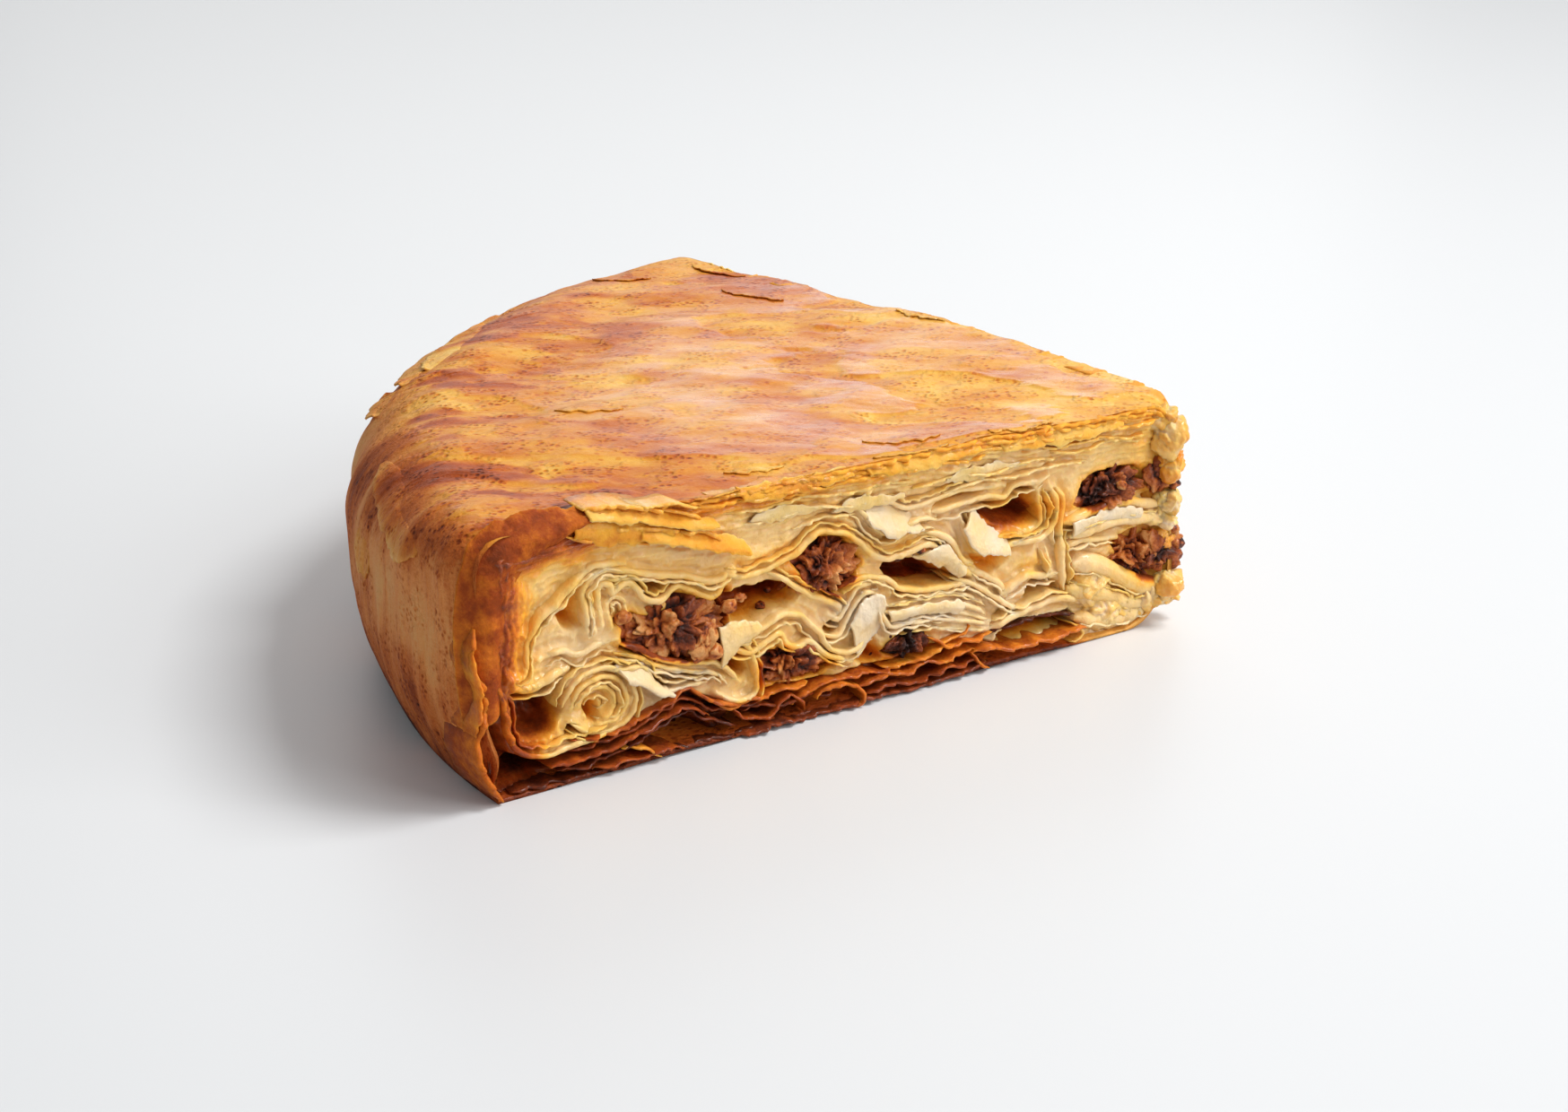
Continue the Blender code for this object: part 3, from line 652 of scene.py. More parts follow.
def crust_point(angle, along, lift=0.0):
    """A point of the baked skin in metres, lifted along its outward direction."""
    radius, height, outward, upward = skin(angle, along)
    lift = lift + crust_lift(angle, radius, height, upward)
    radius = np.maximum(radius + outward * lift, 0.0)
    height = np.maximum(height + upward * lift, 0.0)
    return place_turned(radius, angle, height)


print("profile length at the front cut in mm:", round(float(skin_length(0.0)), 1))

# %% [markdown]
# ## The edge of the skin on a cut
# Both cuts need to know where the skin ends. Its function is sampled once
# along either cut, and the upper edge, the foot and the wall are read from
# those samples.

# %% Edges of the two cuts
OUTLINE_STEPS = 1500
WALL_STARTS = 0.72


def outline_of(face):
    """Radius and height in mm of the skin's edge at a cut, from the tip to the foot."""
    turn = 0.0 if face == "front" else WEDGE_ANGLE
    along = np.linspace(0.0, float(skin_length(turn)), OUTLINE_STEPS)
    angle = np.full_like(along, turn)
    radius, height, outward, upward = skin(angle, along)
    lift = crust_lift(angle, radius, height, upward)
    return radius + outward * lift, height + upward * lift


OUTLINES = {face: outline_of(face) for face in ("front", "back")}


def top_of_cut(u, face="front"):
    """Height in mm of the upper edge on a cut, the lower edge by the rim, the widest radius."""
    radius, height = OUTLINES[face]
    widest = int(np.argmax(radius))
    high = np.interp(u, radius[:widest], height[:widest])
    low = np.interp(u, radius[widest:][::-1], height[widest:][::-1])
    foot = TIP_RISE * bell(u, 0.0, 5.0)
    low = np.where(u < radius[-1], foot, low)
    return high, low, radius[widest]


def skin_edge(z, face="front"):
    """Radius in mm of the wall's edge at a height on a cut."""
    radius, height = OUTLINES[face]
    start = int(len(radius) * WALL_STARTS)
    return np.interp(z, height[start:][::-1], radius[start:][::-1])


print("upper edge of the front cut in mm, tip to rim:",
      np.round(top_of_cut(np.array([10.0, 50.0, 90.0, 130.0]))[0], 1).tolist())

# %% [markdown]
# ## The crust's colours
# Butter and steam bake the skin unevenly: broad smooth areas stay golden and
# shiny, thin spots turn reddish brown and blister, and torn layers show yellow
# edges. These are slow patterns, so they are worked out at the corners, and
# the finish only adds what is finer than the grid.

# %% Tones of the skin


def crust_tones(angle, along):
    """Bake, gloss and rim values of the skin, each a sum of stretched noises."""
    radius, height, outward = skin(angle, along)[:3]
    x, y = -radius * np.cos(angle), radius * np.sin(angle)
    streak_u, streak_v = streaked(x, y)
    patch = rough(streak_u / 32.0, streak_v / 18.0, seed=21)
    spots = rough(streak_u / 12.0, streak_v / 8.0, seed=22)
    threads = rough(streak_u / 5.0, streak_v / 1.5, seed=27)
    cover, edge = layers(x, y)
    near_rim = ease((radius - 95.0) / 55.0)
    browned = ease((rough(streak_u / 20.0, streak_v / 11.0, seed=26) - 0.12) / 0.40)
    browned = browned * (0.30 + 0.70 * near_rim)
    golden = ease((rough(streak_u / 16.0, streak_v / 10.0, seed=28) - 0.10) / 0.20)
    bake_and_shade = 0.415 + 0.10 * patch + 0.08 * spots + 0.02 * threads + 0.27 * browned + 0.05 * near_rim
    bake_and_shade = bake_and_shade - 0.09 * golden * (1.0 - browned)
    bake_and_shade = bake_and_shade - 0.02 + 0.06 * cover - 0.08 * edge - 0.10 * ease((80.0 - radius) / 80.0)
    bake_and_shade = bake_and_shade - 0.05 * np.exp(-np.maximum(y, 0.0) / 3.0)
    middle = ease((128.0 - radius) / 60.0)
    smooth = (0.20 + 0.80 * middle) * (0.85 + 0.50 * noise(streak_u / 18.0, streak_v / 9.0, seed=23))
    smooth = smooth * (0.25 + 0.75 * cover) * (1.0 - 0.65 * browned) * (1.0 - 0.55 * golden)
    rim = ease((outward - 0.30) / 0.55)
    arc = angle * PIE_RADIUS
    streak = rough(arc / 5.0, height / 26.0, seed=24)
    blotch = rough(arc / 20.0, height / 17.0, seed=25)
    # Down the wall the lighter band at mid-height is painted light and the darkening towards the foot is
    # painted shade; the streaks and blotches are the skin's own tone.
    pale = bell(height, 25.0, 10.0)
    wall = 0.54 - 0.27 * pale + 0.18 * streak + 0.25 * blotch + 0.32 * ease((12.0 - height) / 13.0)
    bake_and_shade = bake_and_shade * (1.0 - rim) + wall * rim
    gloss = smooth * (1.0 - 0.85 * ease(outward / 0.7))
    return np.clip(bake_and_shade, 0.0, 1.0), np.clip(gloss, 0.0, 1.0), rim


print("bake of the skin from the tip to the rim:",
      np.round(crust_tones(0.7, np.array([20.0, 60.0, 100.0, 140.0]))[0], 2).tolist())

# %% [markdown]
# ## The finish of the crust
# The skin is dough that fried in butter, so it is golden with a clear oily
# coat. Where it blistered, tiny pits break the gloss. Down the wall the skin
# was pulled tight by the pan, which left fine upright streaks and a dull face.

# %% Crust material
CRUST_STOPS = [
    (0.00, 236, 206, 136), (0.22, 230, 176, 78), (0.40, 214, 140, 42), (0.54, 194, 104, 26),
    (0.68, 168, 74, 16), (0.84, 124, 48, 12), (1.00, 64, 22, 8),
]
RIM_STOPS = [
    (0.00, 234, 178, 112), (0.30, 230, 147, 80), (0.52, 200, 104, 42), (0.72, 144, 62, 18),
    (0.88, 90, 34, 10), (1.00, 44, 18, 9),
]


def make_crust():
    """Baked skin: golden and oily on top, streaked and dull down the wall."""
    finish = Finish("crust", Specular_IOR_Level=0.17, Subsurface_Weight=0.08,
                    Subsurface_Radius=(0.0030, 0.0014, 0.0006), Subsurface_Scale=0.5, IOR=1.45,
                    Coat_Roughness=0.15, Coat_IOR=1.45)
    bake_and_shade, wet, rim = (finish.attribute(name) for name in ("bake_and_shade", "wet", "extra"))
    along_cut = finish.stretched((0.75, 1.0, 1.0), turn=math.radians(36.0))
    upright = finish.stretched((1.0, 1.0, 0.12))
    mottle = finish.noise(4.0, 5.0, along_cut, roughness=0.62) - 0.5
    fine = finish.noise(0.9, 4.0, along_cut, roughness=0.7) - 0.5
    streak = finish.noise(1.3, 4.0, upright, roughness=0.62) - 0.5
    grit = finish.noise(0.45, 3.0, roughness=0.7) - 0.5
    pits = finish.cells(1.0, place=along_cut).above(0.30, 0.22)
    specks = finish.cells(2.4).above(0.20, 0.07)
    blister = finish.noise(5.0, 3.0, along_cut).above(0.53, 0.08) * (1.0 - wet * 0.6)
    tone = bake_and_shade + mottle * 0.20 + fine * 0.14 * (1.0 - rim) + (1.0 - pits) * blister * 0.24
    tone = tone + streak * rim * 0.38 + (1.0 - specks) * 0.12 + grit * rim * 0.34
    top = finish.ramp(tone.clipped(), CRUST_STOPS)
    wall = finish.ramp(tone.clipped(), RIM_STOPS)
    colour = finish.mix(rim, top, wall)
    dull = 0.50 - wet * 0.22 + rim * 0.16 + fine * 0.30 + (1.0 - pits) * blister * 0.14
    coat = (wet * 0.64 + 0.02 - rim * 0.20 + mottle * 0.4 * (1.0 - rim)).clipped()
    low = finish.bump(finish.noise(6.0, 4.0, along_cut, roughness=0.55), 0.34)
    pitted = finish.bump(pits * blister + fine * 0.6 * (1.0 - wet), 0.28, under=low)
    lines = finish.bump(streak * rim + grit * (0.10 + rim * 0.4), 0.85, under=pitted)
    return finish.wear(Base_Color=colour, Roughness=dull.clipped(), Coat_Weight=coat, Normal=lines)


crust = make_crust()
print("crust has", len(crust.node_tree.nodes), "nodes")

# %% [markdown]
# ## The crust itself
# A loft could carry one profile round the tip, but a grid of angle by length
# lets every corner have its own lift. The skin turns in at both cuts to a
# plain wall that is set back, where the cut faces cover it.

# %% Build the crust shell
CRUST_LENGTHS = 228
CRUST_TURNS = 212


def crust_shell():
    """Closed shell: skin and base rows turned about the tip, with set-back ends.

    Each row is the profile at one angle. At both ends two more rows follow, one
    just inside the edge and one set back into the food, and a ruled cap joins
    the top chain of the last row to its base chain.
    """
    share = np.linspace(0.0, 1.0, CRUST_LENGTHS) ** 0.96
    turns = np.linspace(0.0, 1.0, CRUST_TURNS)
    turns = WEDGE_ANGLE * (turns + 0.035 * np.sin(2.0 * math.pi * turns) * -0.5)
    angle, part = np.meshgrid(turns, share, indexing="ij")
    along = part * skin_length(angle)
    upper = crust_point(angle, along)
    bake_and_shade, wet, rim = crust_tones(angle, along)
    foot = skin(angle, skin_length(angle))[0]
    base_share = np.linspace(1.0, 0.0, CRUST_LENGTHS)[1:]
    base_angle, base_part = np.meshgrid(turns, base_share, indexing="ij")
    base_radius = foot[:, :1] * base_part
    hollow = 0.6 * ease((1.0 - base_part) * 6.0) * ease(base_part * 5.0)
    base_z = hollow * (0.6 + 0.4 * noise(base_radius / 9.0, base_angle * 12.0, seed=31))
    base_z = base_z + TIP_RISE * bell(base_radius, 0.0, 5.0)
    lower = place_turned(base_radius, base_angle, base_z)
    rows = np.concatenate([upper, lower], axis=1)
    low_bake = 0.83 + 0.1 * rough(base_radius / 12.0, base_angle * 9.0, seed=32)
    low_bake = low_bake - 0.55 * ease((26.0 - base_radius) / 8.0)
    bake_and_shade = np.concatenate([bake_and_shade, low_bake], axis=1)
    wet = np.concatenate([wet, np.full_like(low_bake, 0.3)], axis=1)
    rim = np.concatenate([rim, np.full_like(low_bake, 0.4)], axis=1)
    count = rows.shape[1]
    ends = []
    for row, face in ((0, "front"), (-1, "back")):
        ring = rows[row]
        centre = place(70.0, 0.0, 22.0, face)
        inward = place(0.0, 1.0, 0.0, face) - place(0.0, 0.0, 0.0, face)
        reach = np.linalg.norm(ring[:, :2] - TIP[:2], axis=1) / MM
        back = np.minimum(14.0, 0.38 * reach)[:, None]
        inset = unit(centre - ring)
        near = ring + inset * 1.1 * MM + inward * 0.1 * back
        far = ring + inset * 4.0 * MM * ease(reach / 30.0)[:, None] + inward * back
        ends.append((near, far))
    rows = np.concatenate([ends[0][1][None], ends[0][0][None], rows, ends[1][0][None],
                           ends[1][1][None]])

    def widen(values, inner):
        """The values with two more rows at each end: a paler copy and a plain one."""
        pad = np.full((1, count), inner)
        return np.concatenate([pad, values[:1] * 0.85, values, values[-1:] * 0.85, pad])

    index = np.arange(len(rows) * count).reshape(-1, count)
    faces = [round_quads(index)]
    half = (count + 1) // 2
    for row, turned in ((index[0], False), (index[-1], True)):
        top_chain = row[:half]
        base_chain = row[half - 1:][::-1]
        cap = np.stack([top_chain[:-2], top_chain[1:-1], base_chain[1:-1], base_chain[:-2]], axis=-1)
        foot_cap = np.array([[top_chain[-2], top_chain[-1], base_chain[-2]]])
        faces += [part[:, ::-1] if turned else part for part in (cap, foot_cap)]
    return rows, faces, widen(bake_and_shade, 0.35), widen(wet, 0.3), widen(rim, 0.0)


shell = Piece("crust_shell")
shell.add(*crust_shell())
shell.build(crust, nodes=("pastry",), weld=True)

# %% [markdown]
# ## What the cut shows
# The knife opened soft folded sheets with hollows between them. Their places
# were measured on the cut, as lines and outlines in millimetres: by turns how
# far from the tip and how high. The back cut repeats the main ones, bent.
# Before its outline, a hollow has its depth and how soft its edge is. Before
# its line, a sheet has its thickness and how deep its front and back lie.

# %% Sheets, hollows and the base crust on the cut
HOLLOWS = {
    "foot": (11, 1.4, [146.5, 2, 148.4, 8, 147, 13, 144.6, 14.6, 142.8, 12, 141.6, 8.6, 139, 6.6, 134.5,
        5.2, 130, 4.6, 131, 2.2, 138, 1.4]),
    "rim_fold": (8.5, 1, [141.2, 17.4, 137.6, 16.9, 134.4, 17, 130.8, 18.2, 130.2, 13.4, 131.2, 10.6, 134,
        8.6, 138.4, 9.2, 140.4, 13.6]),
    "hole": (5, 0.6, [129.6, 9.6, 127.2, 8.4, 129.4, 7.2]),
    "roll_eye": (4.5, 0.7, [126.3, 12.6, 124.4, 13, 124, 10.4, 125.6, 9.2]),
    "corner": (5, 1.3, [131.9, 30, 129, 32.6, 126.2, 34.2, 127.2, 31.5, 127.2, 29, 126.6, 26.3, 129.8,
        25.9]),
    "lens": (5, 1.2, [123, 33, 118.4, 32.2, 113, 31.2, 108, 29.8, 111, 28.2, 114, 28.4, 117.4, 31, 120.6,
        30.8]),
    "grey_void": (5.5, 0.9, [121.4, 17, 116.6, 16.4, 115, 14.4, 113, 11.6, 109.6, 11.5, 111, 13.6, 113.6,
        15.6, 117, 18.6]),
    "grey_gap": (4.5, 0.8, [111.6, 15.4, 107.6, 14, 103, 12.8, 104, 12, 108.6, 12.8]),
    "middle": (9, 1.4, [98.2, 22.4, 97.6, 26, 92.6, 25.8, 87, 25.2, 83.6, 23.4, 85, 20.8, 89, 20.4, 93,
        19, 96.6, 19.4]),
    "middle_low": (6.5, 1.1, [101, 15.8, 96.8, 17.2, 95, 13.8, 94.6, 10.6, 97.4, 10.6, 99.6, 12.6]),
    "under_wave": (4, 0.9, [81.5, 12.6, 79, 10.8, 75.6, 8.6, 77, 7.8, 82, 9.4, 84, 11.6]),
    "s_pocket": (4.5, 1, [76, 16.4, 78.6, 14.6, 76, 13.4, 73.2, 16.8, 71.6, 19.4, 73.6, 18.6]),
    "dark_pocket": (5, 1, [69, 13, 66.6, 9.4, 66, 6.4, 69.4, 6, 72, 8.6]),
    "long": (11, 1.5, [66, 22.9, 64, 24.4, 61.8, 23.9, 59.1, 23.5, 56.1, 24.4, 53.4, 21.4, 50, 19, 46.6,
        16.7, 50.9, 16.6, 57, 17, 62.5, 17.6, 64, 19.9]),
    "petal": (4, 1.2, [72, 34.6, 69.4, 33.2, 66, 31, 62, 32.2, 65.6, 34.6]),
    "petal_low": (3.5, 1, [66.6, 29.2, 63.6, 30.6, 60.4, 31.2, 61.6, 29.4, 64.4, 28.2]),
    "flat_slit": (3, 0.7, [56, 31.6, 49, 32.2, 43, 33.4, 49, 33.6, 54, 32.6]),
    "tip_high": (8.5, 1.5, [47.6, 29.8, 44, 30.6, 40.2, 30.4, 37.4, 32.2, 33, 31.6, 32.4, 28.6, 30.4,
        26.4, 33.4, 24.8, 38.7, 25.4, 44.7, 28]),
    "tip_shelf": (4.5, 1.2, [46.6, 21.6, 42.6, 20.6, 37, 21, 38.6, 18.6, 42.6, 16.6]),
    "tip_low": (6.5, 1.1, [34.2, 11.6, 32.2, 14.4, 30.4, 13.4, 28.2, 13.6, 25.8, 11.3, 31, 10.2]),
    "stain": (2.5, 1.2, [27.4, 28.4, 25, 25, 26, 20.4, 28.4, 21.4, 29.2, 25.4]),
    "tip_gap": (4, 0.9, [22.4, 22.2, 16, 21.6, 9, 21.4, 10.6, 20.4, 17, 20.2]),
    "gap_rim": (7, 1, [118, 1.2, 113.6, 3.6, 110.6, 6, 106.6, 6.4, 103.4, 4, 101.4, 1.2]),
    "gap_middle": (6.5, 1, [97, 1.4, 94.6, 4.6, 89, 5.8, 85.2, 5.4, 84.2, 1.6]),
    "gap_small": (4.5, 0.8, [66, 3.6, 61.6, 4.2, 58, 3.4, 62, 2.6]),
    "gap_tip": (9, 1, [41, 3.4, 38, 6.4, 30, 6.6, 23, 6.2, 22.6, 3.8, 33, 3.4]),
    "arch": (3, 0.8, [43, -1, 38, 1.2, 30, 1.8, 23.6, 1.4, 21, -1]),
}

SHEETS = {
    "lobe_band": (1.5, 0.2, 7, [141.6, 20.6, 138.2, 20.4, 137.4, 25.6, 135, 28.9, 131.2, 31.6, 128.2,
        34.2, 124.6, 36, 119, 35]),
    "lobe_foot": (1.7, 0.3, 7, [142, 21.4, 140.2, 18.9, 137.6, 18, 135, 18.2, 132.6, 19, 129.6, 19.4]),
    "rim_turn": (1.2, 0.1, 10, [144, 19.6, 142.8, 17.4, 141.4, 14, 141.2, 10.4, 139.4, 7.6, 135, 5.8, 130,
        6.2, 125, 6.8, 120.6, 7.2]),
    "fold_outer": (1.3, 0.3, 7, [126, 24, 126.7, 28.9, 127, 31.8, 125.5, 34.1, 122.9, 35, 120.2, 34.3,
        116.5, 33.2, 113.5, 32, 110, 31.2, 106.3, 30.2, 103.7, 28.9, 101.2, 28.6, 97.4, 29.4]),
    "fold_core": (1, 0.7, 6, [125, 24.6, 125.5, 29.8, 125.6, 32.2, 123.9, 33.6, 121.4, 32.9, 117.2, 32.2,
        112.6, 30.6]),
    "fold_inner": (1.2, 0.4, 7, [123.6, 25.6, 124.2, 30.4, 123.6, 32.6, 121.9, 32.2, 121.4, 30.5, 119.8,
        31.5, 118, 31.6, 116.5, 30.1, 115.3, 28.4, 113.5, 27.6, 111.6, 27.6, 110, 28.9, 108.4, 29.2,
        106.3, 28, 104, 26.6, 101.8, 26, 98.9, 28]),
    "fold_shadow": (1, 1.2, 6, [121.8, 25, 122.4, 28.4, 121, 29.6, 119, 28.6, 118.4, 26]),
    "rim_pleat": (1.1, 0.8, 6, [135, 22, 131, 22.8, 128, 21.4, 124, 22.4, 120.2, 22.4]),
    "roll_0": (1.1, 0.3, 7, [131, 13, 129.4, 16.6, 126, 18.2, 121.8, 17.8, 118.4, 15.4, 117.3, 11.8,
        118.4, 8.6, 122, 7.2, 126.2, 7.6, 129.4, 9.8]),
    "roll_1": (1, 0.5, 6, [129.2, 12.4, 128, 15.2, 125.2, 16.6, 121.6, 16.2, 119.4, 13.8, 119.2, 10.6,
        121.4, 8.8, 124.6, 8.7]),
    "roll_2": (1, 0.7, 6, [127.6, 12.6, 126.4, 14.6, 123.6, 15, 121.3, 13.2, 121.5, 10.8, 123.3, 9.6]),
    "grey_void": (0.8, 0.2, 6.5, [123.2, 17.6, 120.2, 17.3, 116.5, 16.8, 115, 15.8, 114.3, 13.9, 112.7,
        12.1, 109.6, 11.2, 106.6, 11.4, 103, 11]),
    "grey_low": (1, 0.5, 7, [121, 20, 117.6, 19, 114.4, 17, 111.6, 15.6, 108.6, 14.4, 105.6, 13.4, 102.4,
        12.6, 99.6, 11]),
    "grey_high": (1, 0.3, 7, [119.8, 21.4, 116.5, 20.1, 114.2, 18.4, 111.6, 16.9, 108, 15.6, 104.6, 14.9,
        101.6, 14.2, 98.9, 12.4, 96.6, 9.6]),
    "hook": (1.2, 0.2, 8, [99, 18.2, 95.6, 16.2, 93.9, 13.2, 93.2, 9.8, 93.2, 7.4, 94.8, 6.2, 98, 6.6,
        101, 8.4]),
    "wave_low": (1.1, 0.3, 8, [101.2, 17.8, 98, 15.8, 94.9, 14.5, 92.3, 15.2, 89.6, 16.4, 88.1, 16.2, 87,
        14.4, 84.7, 13.3, 82.5, 13.9, 80.6, 12.2, 78.7, 10.4, 75.7, 9.1, 73.2, 7.8]),
    "wave_high": (1.2, 0.2, 8, [99.4, 19.4, 96.4, 18, 92.3, 18.2, 89.2, 19.4, 87, 19.6, 84, 18.5, 82.1,
        16.6, 80.2, 14.8, 79.1, 12.9, 77.2, 11, 74.2, 9.9, 71.6, 10.5, 69.8, 12.2]),
    "wave_top": (1.1, 0.6, 7, [90.6, 27.6, 87.6, 25.8, 84.4, 23.6, 81.6, 21.6, 78.6, 20.2, 76, 18.6, 75,
        16.2]),
    "s_fold": (1.1, 0.2, 8, [79.8, 14.6, 77.6, 13.4, 75.8, 14, 74.2, 16.4, 72.3, 18.9, 70.4, 20, 68.6,
        19.2, 67.4, 16.9, 66.3, 14.1, 64.4, 12.4, 60.3, 12.5, 55.6, 11.7]),
    "s_back": (1, 0.6, 7, [78, 17.6, 76, 16.2, 74.6, 17.8, 72.4, 21, 69.6, 21.6, 66.6, 21.2, 65, 18.4]),
    "roof": (1.5, 0.3, 7, [99.4, 29, 95.6, 28.2, 92, 28.4, 88.6, 29.2, 85, 30.2, 81, 32.6, 76, 31.8, 72,
        29.4, 69, 26.6, 65.6, 25.2, 61, 25.4, 57, 26, 54, 24, 51, 21, 46, 17.6]),
    "ledge": (1.1, 0.4, 9, [75.6, 21.6, 72, 22.8, 68.6, 22.4, 65.6, 21.2, 62.6, 18.8, 57, 17.6, 51, 17.2,
        46, 17]),
    "bundle_0": (0.9, 0.5, 7, [67.4, 16.6, 62, 16.4, 56, 16.2, 51.6, 15.9, 47.6, 14.4, 44.6, 12.6]),
    "bundle_1": (0.8, 0.1, 6, [67, 15.3, 61, 15, 55, 14.6, 50.6, 13.9, 46.8, 12.2, 43.4, 10.2]),
    "bundle_2": (0.8, 0.5, 6, [66, 13.4, 60.4, 13.7, 54, 13.2, 50, 12, 45.4, 10.2, 42, 8.6]),
    "bundle_3": (0.7, 0, 6, [62, 12.2, 56, 12, 51, 10.8, 46, 9.4, 42.6, 8]),
    "bundle_4": (0.9, 0.4, 6, [57, 10.6, 52, 9.4, 46.6, 8, 42.4, 7]),
    "bundle_tip": (1, 0.4, 7, [51.6, 18.4, 47.4, 16.8, 44, 14.8, 41, 12.6, 38, 10.4, 34.6, 9.2]),
    "petal": (1, -0.1, 6, [73.4, 36.2, 71, 33.8, 69, 31.2, 66, 29.7, 63, 30.4, 58.8, 31, 55, 30.2]),
    "petal_top": (0.9, 0.6, 5, [68.6, 36.6, 65.4, 35.2, 61.6, 33.4, 57, 33.6, 51, 34.4, 45, 34, 39.6,
        33.2]),
    "slab": (1.6, 0.1, 6, [57.4, 28.2, 53.6, 26.6, 51, 24.2, 49.4, 21.6, 46.6, 20.4]),
    "flat": (0.9, 0.4, 6, [56.6, 31.4, 50, 31.8, 44, 32.2, 40, 31.4, 37.6, 33, 33, 32.8, 30.6, 33.6]),
    "tip_floor": (1.5, 0.1, 7, [49.6, 29.4, 48.4, 26, 46.2, 22.9, 43, 21.9, 38.4, 22.4, 34, 22, 30.6,
        22.6, 28.4, 25, 28.3, 28.6, 29.6, 31.6]),
    "tip_inner": (1, 0.9, 6, [47.6, 26.6, 43.6, 24.6, 38.6, 23.8, 34, 23.6, 31.2, 25, 31.8, 28.4, 32.4,
        30.6]),
    "pillar": (1.4, 0.2, 7, [28.4, 31.4, 26.6, 28, 27, 24, 26, 20]),
    "drip": (1.8, 0, 6, [26.8, 22, 26.4, 18.4, 26, 14.8, 25.2, 10.9]),
    "drip_side": (1.2, 0.4, 6, [29.6, 19.6, 29, 16.4, 28.4, 13.6]),
    "low_roof": (1.3, 0.3, 7, [40.6, 12.6, 37, 14.4, 34.4, 15.4, 30.6, 14.8, 27, 14.4]),
    "low_floor": (2, 0, 8, [43, 7, 38, 8.4, 33.8, 9, 28.4, 9.7, 24.4, 9.2, 21.8, 8]),
    "grey_tip": (1.4, 0.6, 6, [48, 19.6, 44, 17.6, 40.6, 15.4, 38.6, 12.6]),
    "tip_fold_0": (2.6, -0.1, 6, [26.4, 23.6, 21, 24.4, 17, 25.2, 11.4, 25, 5, 23.6, -1.4, 22.6]),
    "tip_fold_1": (2.4, -0.4, 6, [24.6, 20.6, 19, 21.6, 14, 21.8, 8.6, 21.2, 3, 20.8]),
    "tip_fold_2": (1.6, 0.3, 6, [26.6, 19, 22, 19.6, 17, 19, 13, 18.6]),
    "lobe_0": (4.4, -0.7, 6, [24, 15.6, 19.4, 14.8, 15.6, 13, 12.2, 11, 8, 8.6, 3.4, 7.2, -1, 6.2]),
    "lobe_1": (4.8, -0.4, 6, [24.6, 11, 19, 9.4, 14, 7.4, 9.4, 5.2, 3.4, 4.6, -2, 4.8]),
    "lobe_2": (3.6, -0.2, 6, [22.6, 5, 17, 3.4, 12.4, 2.6, 8, 2.9, 4.4, 3.2]),
}

BASE_EDGE = [150, 2, 143, 2.4, 136, 3.6, 130, 4.4, 125, 6.4, 118, 7.4, 111.2, 9.2, 107, 10.8, 104.8, 9.2,
    102, 7.6, 98, 6, 93, 5.8, 88, 7, 82, 6.2, 76, 5.8, 70, 6, 64, 5.6, 57, 6.6, 50, 6.4, 44, 5.4, 38, 2.6,
    30, 2.2, 22, 1.8, 18, 0.4, 0, 0]

POCKETS = {
    "meat_rim": [121, 25.6, 118.6, 23.4, 119.2, 20.6, 116, 19, 112.6, 17.4, 108, 15.8, 102.6, 15.6, 99.4,
        17.6, 98.2, 21, 97.6, 24, 98.6, 26.4, 102, 24.8, 104.6, 25.2, 106.6, 26.8, 109, 27.4, 110.6, 25,
        114, 24.2, 117.6, 26],
    "meat_middle": [85.1, 28.2, 82.6, 29.2, 81, 31.2, 77.6, 30.8, 74.8, 30.6, 73.2, 28, 71.2, 26, 72.4,
        23.2, 75, 21.4, 77, 20.4, 79.4, 22.2, 82.4, 24.6],
    "meat_base": [92.4, 11.2, 90.4, 13.4, 87, 13, 83.6, 10.8, 80, 9.6, 77.4, 8.4, 79.4, 6.8, 84, 7.2,
        88.6, 7.6, 92, 8.4],
    "meat_dark": [65.6, 7.6, 63, 9.8, 59.4, 10.2, 56.4, 9, 56, 7, 59, 6.4, 63, 6.4],
    "meat_tip_high": [23.2, 26.6, 21.4, 30.2, 18, 31.6, 13.4, 31.4, 9, 31.2, 6.4, 29, 6.6, 26.6, 10.4, 26,
        15.4, 26, 19.6, 24.8],
    "meat_tip_low": [13.4, 17.4, 9.7, 18.6, 5.6, 18.9, 2.2, 17.6, 1.2, 13.6, 1.4, 10, 4.4, 8.8, 7.6, 10,
        11.2, 13.6],
}

print(len(SHEETS), "sheets,", len(HOLLOWS), "hollows and", len(POCKETS), "meat pockets")

# %% [markdown]
# ## The same places on the back cut
# The back cut gets the main sheets and hollows again. A slow noise shifts their
# points by a few millimetres, and leaves them where they are near the floor.

# %% Places on either cut
BACK_NAMES = ["lobe_band", "rim_turn", "fold_outer", "fold_inner", "roll_0", "roll_1", "grey_high",
              "hook", "wave_low", "wave_high", "s_fold", "roof", "ledge", "bundle_0", "bundle_1",
              "bundle_tip", "petal", "slab", "tip_floor", "drip", "low_floor", "tip_fold_0",
              "tip_fold_1", "lobe_0", "lobe_2"]
BACK_HOLLOWS = ["foot", "rim_fold", "corner", "lens", "middle", "middle_low", "long", "petal",
                "tip_high", "tip_low", "gap_middle", "gap_tip"]


def bent(points, face):
    """Points of a cut, two numbers each; those of the back cut are shifted by a slow noise."""
    points = np.reshape(points, (-1, 2)).astype(float)
    if face == "front":
        return points
    shift = 2.2 * noise(points[:, 0] / 17.0, points[:, 1] / 17.0, seed=41)
    rise = 2.0 * noise(points[:, 0] / 17.0, points[:, 1] / 17.0, seed=42)
    held = ease(points[:, 1] / 9.0)
    moved = np.stack([points[:, 0] + shift * held, points[:, 1] + rise * held], axis=-1)
    return np.maximum(moved, [-3.0, 0.3])


